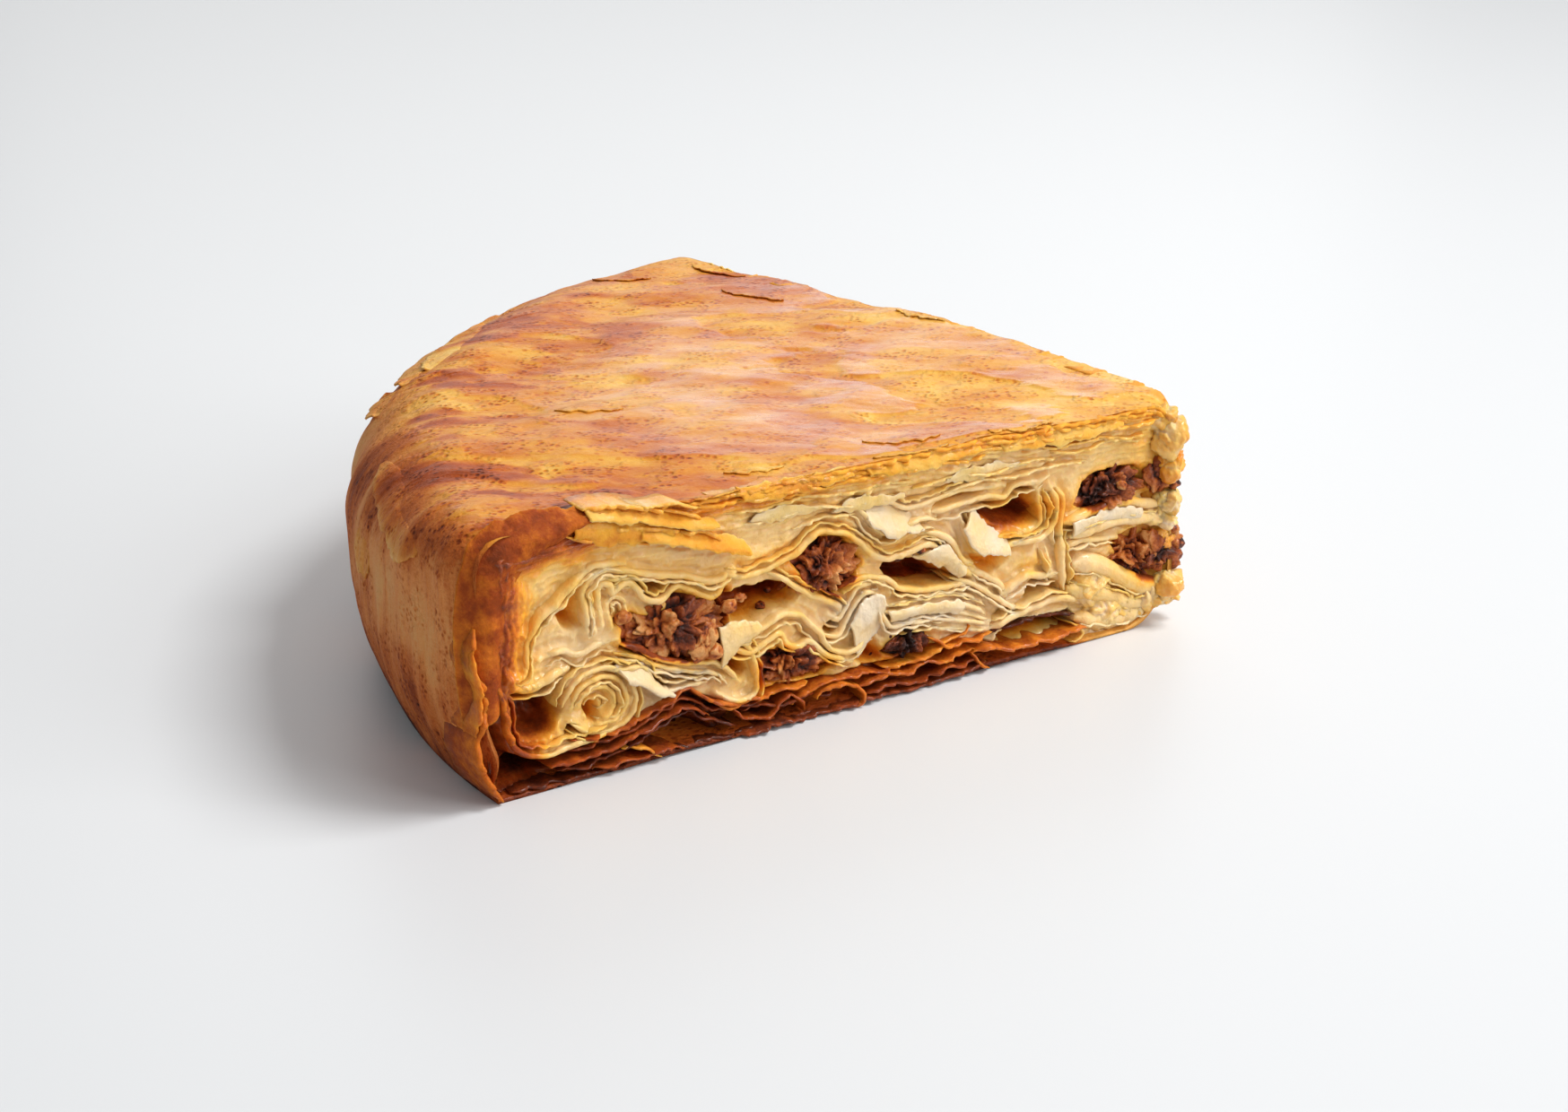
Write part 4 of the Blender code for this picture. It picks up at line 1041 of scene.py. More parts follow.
def base_height(u):
    """Height in mm of the fried base's upper edge on a cut, between measured points."""
    edge_u, edge_z = np.reshape(BASE_EDGE, (-1, 2))[::-1].T
    return np.interp(u, edge_u, edge_z)


print("the back cut repeats", len(BACK_NAMES), "sheets and", len(BACK_HOLLOWS), "hollows")

# %% [markdown]
# ## How brown each place of the cut is
# Seen on the cut, the skin's orange soaks into the outer sheets and fades to
# cream, widest by the rim. The lowest sheets fried dark. A few spots inside are
# whiter or yellower than the rest, and meat juice stains what it touches. The
# darker spots in the hollow by the tip and over the roll are painted shade.

# %% Tone of a place on the cut
MEAT_TONE = 0.74
# Each spot: its middle, its half width and half height, and its tone. Most
# tint the dough; the darker ones in the hollow by the tip (0.82) and over the
# roll (0.3) are painted shade.
TONE_AND_SHADE_SPOTS = [
    (112, 12, 10, 3.4, 0.05), (123, 12.4, 7, 5.5, 0.3), (73, 16.6, 5.4, 3.6, 0.05),
    (56, 12.6, 10.5, 2.6, 0.05), (65, 33, 6.5, 2.8, 0.06), (50, 27.6, 5, 3, 0.02),
    (88.5, 12.4, 4, 2.4, 0.3), (90, 29.6, 9, 2.6, 0.31), (62, 27.8, 9, 2.4, 0.27),
    (135, 10, 3.4, 2.6, 0.58), (138, 19.4, 3, 2, 0.36), (32.5, 17.4, 3.6, 2, 0.36), (14, 9, 10, 6, 0.27),
    (4, 30, 4, 5, 0.46), (8, 36, 9, 4, 0.33), (26.6, 26, 2.6, 3.6, 0.5), (86, 9, 6, 1.6, 0.62),
    (46, 22, 5, 4, 0.25), (56, 38, 14, 2.5, 0.24), (128, 23, 6, 6, 0.15), (104, 29, 8, 2.4, 0.24),
    (93, 22.4, 6, 3, 0.16), (36, 27, 8, 3.4, 0.42), (57, 20, 7, 2.6, 0.4), (97, 14, 3, 3, 0.4),
    (61, 6, 6, 1.6, 0.5), (38.8, 26.9, 5.4, 2.4, 0.82),
]


def cut_tone(u, z, face="front"):
    """Bake value on a cut: crust colour fading inwards, dark base, then the spots, two of which are
    painted shade.
    """
    below_top = top_of_cut(u, face)[0] - z
    from_rim = np.maximum(skin_edge(z, face) - u, 0.0)
    near_rim = ease((u - 104.0) / 32.0)
    wide = 3.2 + 1.5 * noise(u / 6.0, z / 9.0, seed=51) + 3.2 * near_rim
    depth = np.maximum(np.minimum(below_top, from_rim * 0.85), 0.0)
    strong = 0.45 + 0.05 * ease((u - 50.0) / 60.0) + 0.20 * near_rim
    tone = 0.20 - 0.05 * ease((100.0 - u) / 70.0) + 0.045 * noise(u / 6.0, z / 4.0, seed=52)
    skinned = 1.0 - ease((depth - 0.55 * wide) / wide)
    tone = tone + (strong - tone) * skinned
    tone = tone + 0.12 * np.exp(-depth / 6.0) * (1.0 - skinned)
    yellow = ease((noise(u / 3.4, z / 2.4, seed=55) - 0.15) / 0.4)
    tone = tone + 0.07 * yellow * np.exp(-depth / 16.0)
    for spot_u, spot_z, half_u, half_z, value in TONE_AND_SHADE_SPOTS:
        share = np.exp(-((u - spot_u) / half_u) ** 2 - ((z - spot_z) / half_z) ** 2)
        tone = tone + (value - tone) * share * 0.9
    for outline in POCKETS.values():
        near = inside_distance(u, z, bent(outline, face))
        tone = tone + 0.22 * bell(np.minimum(near, 0.0), 0.0, 1.3) * (near < 0.0)
        tone = np.where(near >= 0.0, MEAT_TONE, tone)
    base = base_height(u) + 0.7 * noise(u / 3.0, z / 5.0, seed=53)
    fried = ease((base - z) / 1.4 + 0.3) * ease((u - 18.0) / 5.0)
    dark = 0.78 + 0.16 * rough(u / 6.0, z / 1.3, seed=54)
    dark = dark - 0.10 * ease((u - 30.0) / 40.0) * ease((110.0 - u) / 50.0)
    return tone + (dark - tone) * fried


print("tone at the top edge and in the middle:",
      np.round(cut_tone(np.array([90.0, 60.0]), np.array([44.0, 28.0])), 2).tolist())

# %% [markdown]
# ## The face of the cut
# The soft mass between the sheets could be many small bodies, but they would
# leave gaps. One fine relief is closed and quick: a grid over the cut where
# each corner sinks by a depth. Hollows are deep with steep sides, sheets stand
# as ridges, and thin parallel lines beside them are the layers next to them.
# The hollows are also darkened in colour by their depth, a painted shade.

# %% Relief of a cut


def cut_depth(u, z, face):
    """Depth in mm behind the cut: base, minus sheet ridges, plus hollows and fine layers, and the painted
    shade of the hollows.
    """
    edge = np.minimum(top_of_cut(u, face)[0] - z, (skin_edge(z, face) - u) * 0.9)
    edge = np.maximum(edge, 0.0)
    depth = 0.1 + 1.7 * ease(edge / 9.0)
    depth = depth + 0.9 * noise(u / 7.5, z / 5.0, seed=61) * ease(edge / 5.0)
    depth = depth + 0.45 * noise(u / 3.6, z / 2.0, seed=62) * ease(edge / 2.0)
    near_rim = ease((u - 126.0) / 14.0)
    depth = depth + (0.1 + 1.9 * near_rim) * bell(edge, 0.0, 0.8 + near_rim)
    skin_roll = bell(edge, 4.8, 3.4)
    depth = depth - 1.9 * near_rim * skin_roll * ease((z - 14.0) / 8.0)
    nearest = np.full(u.shape, 1e9)
    for name in SHEETS if face == "front" else BACK_NAMES:
        line = curve_through(bent(SHEETS[name][3], face), 1.2)
        nearest = np.minimum(nearest, line_distance(u, z, line))
    shaken = nearest + 0.35 * rough(u / 2.2, z / 1.6, seed=60)
    ripple = np.sin(2.0 * math.pi * (shaken / 1.3 + 0.8 * noise(u / 9.0, z / 9.0, seed=63)))
    layered = ease(0.5 + 0.9 * noise(u / 7.0, z / 5.0, seed=64))
    depth = depth + 0.14 * ripple * layered * ease(edge / 2.0) * np.exp(-nearest / 7.0)
    torn = edge + 0.5 * rough(u / 5.0, z / 1.2, seed=59)
    bands = np.sin(2.0 * math.pi * (torn / 1.2 + 0.8 * noise(u / 14.0, z / 7.0, seed=65)))
    depth = depth + 0.30 * bands * bell(edge, 0.0, 9.0) * ease(edge / 1.5)
    depth = depth + 0.28 * rough(u / 1.9, z / 1.2, seed=58) * ease(edge / 1.0)
    depth = depth + 0.75 * bell(nearest, 1.3, 0.8) - 0.5 * bell(nearest, 0.0, 0.7)
    shade = np.zeros(u.shape)
    for name in HOLLOWS if face == "front" else BACK_HOLLOWS:
        deep, soft, outline = HOLLOWS[name]
        outline = curve_through(bent(outline, face), 1.0, closed=True)
        inside = inside_distance(u, z, outline)
        inside = inside + 0.25 * noise(u / 1.6, z / 1.6, seed=66)
        sunk = ease((inside + 0.35) / (soft * 1.6))
        depth = depth + deep * (0.82 + 0.2 * noise(u / 3.5, z / 2.5, seed=67)) * sunk
        shade = np.maximum(shade, sunk * min(deep / 9.0, 1.0))
    for outline in POCKETS.values():
        inside = inside_distance(u, z, bent(outline, face))
        depth = depth + 4.6 * ease((inside + 0.5) / 1.6)
    flaky = ease((base_height(u) - z) / 1.2 + 0.4) * ease((u - 20.0) / 8.0)
    depth = depth + flaky * (2.6 + 1.1 * rough(u / 4.5, z / 0.8, seed=68))
    return depth, shade


def cut_relief(face, columns, rows):
    """Closed slab whose front is the relief and whose back is a plain ruled wall.

    Columns run from the tip to the rim, rows from the base to the top edge. The
    depth is held below 0.4 of the distance from the tip, so the two cuts never
    meet there, and small beside the wall. The ends are closed by fans.
    """
    widest = top_of_cut(np.array([0.0]), face)[2]
    u_line = np.linspace(0.3, widest - 0.45, columns)
    high, low = top_of_cut(u_line, face)[:2]
    v = np.linspace(0.0, 1.0, rows)
    bottom = np.where(low > 0.0, low + 0.35, 0.12)
    span = high - 0.35 - bottom
    z = bottom[:, None] + span[:, None] * v
    u = np.broadcast_to(u_line[:, None], z.shape)
    depth, shade = cut_depth(u, z, face)
    from_rim = np.maximum(skin_edge(z, face) - u, 0.0)
    depth = np.minimum(depth, np.minimum(np.minimum(13.0, 0.40 * u), 1.4 + 2.6 * from_rim))
    tone = cut_tone(u, z, face)
    # Painted shade: the hollows' tone is darkened by their depth.
    tone = np.maximum(tone, np.minimum(tone + 0.60 * shade, MEAT_TONE))
    wet = np.clip(0.58 + 0.4 * noise(u / 5.0, z / 4.0, seed=69), 0.0, 1.0)
    behind = np.minimum(15.0, 0.44 * u_line + 0.05)
    back_u = u_line * (1.0 - 0.03 * ease((u_line - 100.0) / 50.0))
    floor = place(back_u, behind, bottom + 1.0 * ease(u_line / 20.0), face)
    roof = place(back_u, behind, bottom + span - 2.0 * ease(u_line / 20.0), face)
    points = np.concatenate([place(u, depth, z, face).reshape(-1, 3), floor, roof])
    index = np.arange(columns * rows).reshape(columns, rows)
    low_back = columns * rows + np.arange(columns)
    high_back = low_back + columns
    under = np.stack([index[1:, 0], index[:-1, 0], low_back[:-1], low_back[1:]], axis=-1)
    over = np.stack([index[:-1, -1], index[1:, -1], high_back[1:], high_back[:-1]], axis=-1)
    wall = np.stack([low_back[1:], low_back[:-1], high_back[:-1], high_back[1:]], axis=-1)
    rim_low = np.full(rows - 1, low_back[-1])
    tip_low = np.full(rows - 1, low_back[0])
    fans = np.concatenate([np.stack([index[-1, 1:], index[-1, :-1], rim_low], axis=-1),
                           np.stack([index[0, :-1], index[0, 1:], tip_low], axis=-1),
                           [[index[-1, -1], low_back[-1], high_back[-1]],
                            [low_back[0], index[0, -1], high_back[0]]]])
    pad = np.full(2 * columns, 0.3)
    return (points, [quads(index), under, over, wall, fans],
            np.concatenate([tone.reshape(-1), pad]), np.concatenate([wet.reshape(-1), pad]))


CUT_GRIDS = {"front": (560, 165), "back": (380, 110)}
for face, (columns, rows) in CUT_GRIDS.items():
    relief = Piece("cut_" + face)
    relief.add(*cut_relief(face, columns, rows))
    relief.build(dough)

# %% [markdown]
# ## Sheets of dough that stand out
# Where a sheet was cut it shows a rounded moist edge, about a millimetre thick,
# and its flank runs back into the food. A curve with a bevel would be round all
# the way. A flat loop carried along the path keeps a thin sheet, and its front
# can be ragged while its back bends away.

# %% Ribbons along the paths
NOSE = 6
FLANK = np.array([0.15, 0.4, 0.7, 1.0])


def normals(line):
    """Unit directions across a line, to its left."""
    slope = unit(np.gradient(line, axis=0))
    return np.stack([-slope[:, 1], slope[:, 0]], axis=-1)


def ribbon(path, thick, near, far, face="front", seed=0, ragged=0.35, curl=0.8, spacing=0.6,
           aside=0.0, crinkle=0.16, tone_shift=0.0, tone=None, wet=0.45):
    """Closed thin sheet: a flat loop, rounded in front, carried along a path on the cut.

    The path is moved aside along its normal and crinkled by noise. Across:
    thickness to either side of it, thinner at the ends. In depth: from near,
    shaken by noise, to far, where the path is shifted by curl times a slow
    noise. Returns points, faces, bake and wet values.
    """
    line = curve_through(bent(path, face), spacing)
    along = np.concatenate([[0.0], np.cumsum(np.linalg.norm(np.diff(line, axis=0), axis=1))])
    shake = noise(along / 2.4, seed + 0.8, seed=77) + 0.6 * noise(along / 1.1, seed + 0.8, seed=78)
    line = line + normals(line) * (aside + crinkle * shake)[:, None]
    normal = normals(line)
    to_end = np.minimum(along, along[-1] - along)
    taper = 0.30 + 0.70 * ease(to_end / 2.2)
    uneven = 1.0 + 0.28 * noise(along / 2.6, seed + 0.5, seed=71)
    half = 0.5 * thick * taper * uneven
    jag = ragged * rough(along / 1.9, seed + 0.3, seed=72)
    front = near + jag + 0.9 * (1.0 - ease(to_end / 3.0))
    turn = np.linspace(-math.pi / 2.0, math.pi / 2.0, NOSE)
    around_depth = np.concatenate([np.zeros(NOSE), FLANK, FLANK[::-1]])
    around_side = np.concatenate([np.sin(turn), np.full(len(FLANK), 0.97), np.full(len(FLANK), -0.97)])
    bulge = np.concatenate([1.0 - np.cos(turn), np.ones(2 * len(FLANK))])
    depth = front[:, None] + bulge * half[:, None] + around_depth * (far - front - half)[:, None]
    limit = np.maximum(0.40 * line[:, :1], 0.4)
    depth = np.where(depth > limit, limit + 0.1 * (depth - limit), depth)
    deeper = np.clip((depth - front[:, None]) / 7.0, 0.0, 1.5)
    bend_u = curl * noise(line[:, :1] / 6.0, depth / 7.0 + seed, seed=73) * deeper * 2.0
    bend_z = curl * noise(line[:, 1:] / 6.0, depth / 7.0 + seed, seed=74) * deeper * 2.0
    thin = 1.0 - 0.25 * np.clip(deeper, 0.0, 1.0)
    side = around_side * half[:, None] * thin
    u = line[:, :1] + normal[:, :1] * side + bend_u
    z = np.maximum(line[:, 1:] + normal[:, 1:] * side + bend_z, 0.08)
    faces = tube_faces(np.arange(z.size).reshape(z.shape), shift=NOSE // 2)
    if tone is None:
        tone = cut_tone(u, z, face)
    tone = np.broadcast_to(tone, u.shape) + tone_shift
    # Painted shade: the tone darkens as the sheet's flank runs deeper into the food.
    tone = tone + 0.10 * np.clip(deeper, 0.0, 1.0) + 0.05 * noise(u / 2.0, z / 2.0, seed=75)
    wets = np.clip(wet + 0.3 * noise(u / 3.0, z / 3.0, seed=76), 0.0, 1.0)
    return place(u, depth, z, face), faces, np.clip(tone, 0.0, 1.0), wets


REGIONS = {"sheets_rim": (95, 200), "sheets_middle": (52, 95), "sheets_tip": (-20, 52)}
# Thin leaves beside some sheets: how far aside, how much deeper, and their change of tone.
LEAVES = [
    (0.95, 0.1, -0.05), (-1.3, 0.5, 0.05), (1.7, 0.7, -0.05),
]
for region, (lowest, highest) in REGIONS.items():
    sheets = Piece(region)
    for order, (name, (thick, near, far, path)) in enumerate(SHEETS.items()):
        if not lowest <= np.mean(path[::2]) < highest:
            continue
        thinner = thick * (0.78 + 0.2 * (order % 2))
        sheets.add(*ribbon(path, thinner, near + 0.3, far, seed=order * 3.7))
        for step, (aside, back, shift) in enumerate(LEAVES):
            if (order + step) % 3 > 0:
                continue
            sheets.add(*ribbon(path, 0.40, near + back, far, ragged=0.8, aside=aside, crinkle=0.5,
                               seed=order * 3.7 + step + 0.9, tone_shift=shift))
    sheets.build(dough)

sheets = Piece("sheets_back")
for order, name in enumerate(BACK_NAMES):
    thick, near, far, path = SHEETS[name]
    sheets.add(*ribbon(path, thick, near, far, face="back", seed=order * 2.9 + 100.0, spacing=0.9))
sheets.build(dough)

# %% [markdown]
# ## The minced meat
# Minced meat is small lumps that stuck together, browned on the outside. In
# colour the gaps between lumps get painted shade and the swollen tops are
# lighter, partly painted light. Hundreds of separate balls look like gravel. Here each
# pocket is one lumpy body: a ball stretched to the pocket, whose surface swells
# over scattered centres. A few loose grains sit in front of it.

# %% Meat finish
MEAT_STOPS = [
    (0.00, 36, 12, 5), (0.24, 76, 28, 10), (0.44, 140, 60, 20), (0.62, 186, 94, 35),
    (0.80, 212, 124, 54), (1.00, 234, 166, 96),
]


def make_meat():
    """Minced meat: brown to orange by lump, dark in the gaps as painted shade, greasy."""
    finish = Finish("meat", Specular_IOR_Level=0.28, Subsurface_Weight=0.06,
                    Subsurface_Radius=(0.0020, 0.0007, 0.0004), Subsurface_Scale=0.5, IOR=1.45,
                    Coat_Roughness=0.2)
    bake_and_shade, wet = finish.attribute("bake_and_shade"), finish.attribute("wet")
    lump = finish.noise(2.0, 4.0, roughness=0.65) - 0.5
    fibre = finish.noise(0.5, 4.0, roughness=0.75) - 0.5
    tone = (bake_and_shade + lump * 0.55 + fibre * 0.40).clipped()
    colour = finish.ramp(tone, MEAT_STOPS)
    coarse = finish.bump(finish.noise(0.8, 5.0, roughness=0.75), 0.7)
    return finish.wear(Base_Color=colour, Roughness=(0.60 - wet * 0.25 + fibre * 0.4).clipped(),
                       Coat_Weight=(wet * 0.35 + lump * 0.6).clipped(), Normal=coarse)


meat = make_meat()
print("meat has", len(meat.node_tree.nodes), "nodes")

# %% [markdown]
# ## Bands of meat
# Behind each pocket a lumpy tube turns about the tip from one cut to the other,
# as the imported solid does. A lumpy ball fills the pocket at either cut.

# %% Meat bodies
BAND_SIDES = 24
# Each band: its middle on the cut, its half width and half height, and its tone.
MEAT_BANDS = {
    "meat_rim": (109.0, 21.6, 10.2, 5.4, 0.55),
    "meat_middle": (78.4, 25.8, 6.9, 5.0, 0.46),
    "meat_base": (85.0, 10.2, 7.6, 3.2, 0.54),
    "meat_dark": (60.6, 8.3, 4.9, 2.3, 0.16),
    "meat_tip_high": (14.6, 27.8, 8.4, 3.6, 0.40),
    "meat_tip_low": (7.6, 13.6, 6.6, 4.6, 0.46),
}


def lumps(points, size, seed):
    """Irregular rounded lumps with sharp creases: absolute noise at two sizes, warped.

    Returns the height, near 0 in a crease, and a slow tint from -1 to 1.
    """
    x, y, z = (points / size).T
    warp = [0.55 * noise(x, y, z, seed=seed + step) for step in (1, 2, 3)]
    x, y, z = x + warp[0], y + warp[1], z + warp[2]
    large = np.abs(noise(x, y, z, seed=seed + 4))
    small = np.abs(noise(x * 2.3, y * 2.3, z * 2.3, seed=seed + 5))
    tint = noise(x * 0.8, y * 0.8, z * 0.8, seed=seed + 6)
    return np.clip(1.7 * large + 0.8 * small, 0.0, 1.5), tint


def ball(centre, sizes, columns, rows, grain, swell, seed, tone, face="front", tilt=0.0,
         contrast=1.0):
    """Lumpy closed ball on a cut: unit directions, stretched, swollen over its lumps."""
    turn = np.linspace(0.0, 2.0 * math.pi, columns, endpoint=False)
    rise = np.linspace(-math.pi / 2.0, math.pi / 2.0, rows)
    turn, rise = np.meshgrid(turn, rise, indexing="ij")
    sphere = np.stack([np.cos(rise) * np.cos(turn), np.sin(rise), np.cos(rise) * np.sin(turn)],
                      axis=-1)
    flat = sphere.reshape(-1, 3) * np.array(sizes)
    cosine, sine = math.cos(tilt), math.sin(tilt)
    flat = np.stack([flat[:, 0] * cosine - flat[:, 2] * sine, flat[:, 1],
                     flat[:, 0] * sine + flat[:, 2] * cosine], axis=-1)
    at = flat + np.array(centre)
    bump, tint = lumps(at, grain, seed)
    crease = bell(bump, 0.0, 0.22)
    grow = swell * (bump - 0.55) + 0.25 * swell * rough(*(at / 0.9).T, seed=seed)
    at = at + unit(flat) * grow[:, None]
    # With the meat's ramp a lower value is darker: the creases get painted shade and the swollen tops are
    # lighter, partly painted light. With the dough's ramp the same terms turn the other way.
    values = tone + contrast * (0.52 * tint + 0.34 * (bump - 0.5) - 0.36 * crease)
    points = place(at[:, 0], at[:, 1], np.maximum(at[:, 2], 0.1), face)
    faces = [round_quads(np.arange(columns * rows).reshape(columns, rows), axis=0)]
    return points, faces, np.clip(values, 0.0, 1.0), np.clip(0.4 + 0.5 * bump, 0.0, 1.0)


def band(distance, height, half_width, half_height, tone, seed):
    """Closed lumpy tube of meat that turns about the tip between the two cuts."""
    start = math.asin(min(4.0 / distance, 0.6))
    columns = max(12, int(distance * (WEDGE_ANGLE - 2.0 * start) / 2.0))
    angle = np.linspace(start, WEDGE_ANGLE - start, columns)[:, None]
    turn = np.linspace(0.0, 2.0 * math.pi, BAND_SIDES, endpoint=False)[None, :]
    uneven = 0.60 + 0.10 * noise(angle * distance / 5.0, np.cos(turn) * 2.0, np.sin(turn) * 2.0,
                                 seed=seed)
    radius = distance + half_width * uneven * np.cos(turn)
    z = height + half_height * uneven * np.sin(turn)
    return place_turned(radius, angle, z), tube_faces(np.arange(z.size).reshape(z.shape)), tone, 0.3


for order, (name, (u, z, half_u, half_z, tone)) in enumerate(MEAT_BANDS.items()):
    mass = Piece(name + "_mince")
    mass.add(*band(u, z, half_u, half_z, tone, order))
    for face, columns, rows in (("front", 150, 100), ("back", 70, 44)):
        mass.add(*ball((u, 4.6, z), (half_u * 1.02, 4.0, half_z * 1.04), columns, rows, 3.0, 2.0,
                       11 + order, tone, face))
    mass.build(meat, nodes=(name,), weld=True)

# %% [markdown]
# ## The fried base
# The lowest sheets lay in the hot pan. They are thin, dark and crisp, they
# stand apart from each other, and some curl off the floor. They are the same
# ribbons, only thinner, with a jagged front and a tone of their own.

# %% Base crust sheets
# Each sheet: its thickness, how deep its front and back lie, its tone and its line.
BASE_SHEETS = [
    (0.55, -0.2, 9, 0.66, [129.6, 7, 125, 6.9, 121.7, 7, 118, 7.7, 114, 8.8, 111.2, 9.5, 109.2, 10.7, 107,
        10.9, 104.8, 9.2, 102.9, 8, 99.9, 6.6, 96.6, 5.9]),
    (0.5, 0.4, 9, 0.76, [131, 5.2, 124, 5.6, 119.6, 6.2, 115.4, 7.4, 111.5, 8.3, 108, 9.5, 105.6, 8.4,
        103.2, 6.6, 100.6, 5.6, 97, 5]),
    (0.5, -0.5, 9, 0.72, [134, 3.6, 127, 4, 121.6, 4.6, 117, 5.8, 113, 6.9, 108.6, 7.8, 106, 7.4, 103.4,
        5.4]),
    (0.45, 0.2, 8, 0.84, [132, 2.1, 127.7, 2.2, 124, 2.9, 120.2, 3.6, 116.8, 4.3, 114.6, 5.3, 109.7, 6.6,
        106.7, 7, 104.8, 5.3, 101.4, 4.1, 97.2, 1.7]),
    (0.45, -1, 8, 0.5, [120.6, 3.8, 118.4, 3.5, 116.4, 2.9, 114.8, 1.8, 113.2, 0.7]),
    (0.45, -0.8, 8, 0.7, [126, 1.2, 121, 1.9, 117, 1.4, 112.6, 1.9, 108.4, 1]),
    (0.6, 0.6, 12, 0.84, [141, 0.8, 136, 0.8, 128, 0.6, 118, 0.5, 108, 0.7, 98, 0.5, 90, 0.8]),
    (0.6, -1, 12, 0.78, [98, 0.6, 88, 0.9, 80, 0.6, 70, 0.9, 60, 0.6, 52, 1, 44, 1.6]),
    (0.55, 0.2, 8, 0.6, [102, 7.2, 99.6, 5.9, 96.8, 5.4, 94, 6.2, 91.4, 5.8, 88.4, 6.6, 85.6, 6.2, 82.6,
        6.6]),
    (0.5, -0.4, 8, 0.7, [98.6, 5.6, 96.6, 3.4, 93.4, 2.4, 90.4, 2.7, 88.4, 4.6, 86.4, 5, 84.6, 3.6, 83.4,
        1.6]),
    (0.5, 0.4, 8, 0.8, [96, 4.2, 92, 4.6, 88, 3.6, 84, 4.2, 80, 3.6, 76, 3.9]),
    (0.6, -1, 8, 0.58, [81.4, 3.2, 79, 4.9, 76, 5, 73.4, 3.9, 72, 2.1, 73, 0.7, 75.4, 0.5]),
    (0.5, -0.2, 8, 0.64, [86.4, 3.4, 82.6, 5, 78.4, 5.9, 74.4, 5.4, 70.6, 5.6, 67, 4.8, 63.4, 5.2]),
    (0.5, -0.6, 8, 0.62, [73.4, 3.4, 69.6, 3.9, 65.6, 4.4, 61.6, 3.8, 57.6, 4.6, 53.6, 3.9, 49.6, 4.9, 46,
        4.3]),
    (0.5, -0.9, 8, 0.72, [72, 1.8, 66, 2.4, 60, 1.7, 54, 2.6, 49, 2.2, 45.4, 3.2]),
    (0.55, 0, 7, 0.52, [66.6, 5.4, 62, 5.2, 57.6, 5.6, 54, 6.6, 50.6, 7.4, 47.2, 8.8]),
    (0.5, -0.4, 7, 0.56, [57, 9, 54.6, 7.8, 52, 6.2, 48.4, 6.6, 45, 6, 42.6, 6.8]),
    (0.7, -1.2, 12, 0.58, [47, 3.8, 44, 4.4, 40.6, 3.6, 36, 3.1, 31, 2.9, 26.6, 3.2, 23, 3.6, 20.6, 3]),
    (0.55, -1.3, 6, 0.6, [47.6, 4.2, 46.6, 2.8, 45.2, 1.4, 43.6, 0.7]),
    (0.6, -0.8, 5, 0.36, [24, 4.8, 22.4, 3.6, 21.2, 2.2, 22.2, 0.9, 24.2, 0.8]),
    (0.6, 1, 11, 0.88, [44, 5.9, 38, 6.6, 32, 6.9, 26, 6.4, 22, 5.4]),
]
base = Piece("base_sheets")
for order, (thick, near, far, tone, path) in enumerate(BASE_SHEETS):
    for face, spacing in (("front", 0.55), ("back", 0.9)):
        base.add(*ribbon(path, thick, near, far, face=face, seed=order * 5.1 + len(face), ragged=0.95,
                         curl=0.5, spacing=spacing, crinkle=0.36, tone=tone, wet=0.6))
base.build(dough)

# %% [markdown]
# ## Skin that wraps the rim at the cut
# At the rim the knife dragged the skin over the edge. An outer flap stands off
# the wall there, an inner one turns under the folds, and a blistered flap lies
# over the upper corner. The first two are ribbons with rim colours.

# %% Flaps by the rim
# The same five values as a base sheet's.
FLAPS = [
    (1, -1.5, 9, 0.6, [147.6, 30.6, 148.6, 27, 148.2, 23.6, 146.6, 20.6, 146.4, 17.4, 147.4, 13.6, 147.9,
        9.4, 146.4, 5.4, 144.6, 2, 143.4, 0.6]),
    (0.7, -2.1, 6, 0.56, [148.6, 27.8, 148.6, 25, 148, 22.4, 147.4, 19.8, 147.6, 16.6, 148.3, 13]),
    (1, -0.9, 8, 0.62, [145.6, 24.6, 144.8, 21.4, 143.4, 18.6, 142.4, 15, 142, 11.6, 140.6, 8.6]),
]
flaps = Piece("rim_flaps")
for order, (thick, near, far, tone, path) in enumerate(FLAPS):
    flaps.add(*ribbon(path, thick, near, far, seed=order * 4.3 + 50.0, ragged=0.9, curl=0.3,
                      spacing=0.45, tone=tone, wet=0.3))


def between(upper, lower, depth_high, depth_low, bulge, thick, columns, rows, seed, tone,
            face="front", wet=0.45):
    """Closed patch on the cut: straight lines from an upper path to a lower one.

    Its depth eases from one value to the other, minus a sine bulge halfway.
    """
    at = np.linspace(0.0, 1.0, columns)
    ends = []
    for path in (upper, lower):
        line = curve_through(bent(path, face), 0.4)
        share = np.linspace(0, 1, len(line))
        ends.append(np.stack([np.interp(at, share, line[:, axis]) for axis in (0, 1)], axis=-1))
    v = np.linspace(0.0, 1.0, rows)[None, :]
    spot = ends[0][:, None, :] * (1.0 - v[..., None]) + ends[1][:, None, :] * v[..., None]
    u, z = spot[..., 0], spot[..., 1]
    off_middle = np.abs(v - 0.5) * 2.0
    z = z + 0.7 * rough(u / 2.2, z / 2.2, seed=seed + 1) * off_middle ** 3
    depth = depth_high + (depth_low - depth_high) * ease(v) - bulge * np.sin(math.pi * v)
    depth = depth + 0.25 * rough(u / 4.0, z / 3.0, seed=seed) + 0.08 * rough(u, z, seed=seed)
    shade = tone + 0.10 * noise(u / 5.0, z / 4.0, seed=seed) - 0.10 * off_middle ** 8
    return *slab(place(u, depth, z, face), thick), *both_sides(shade), wet


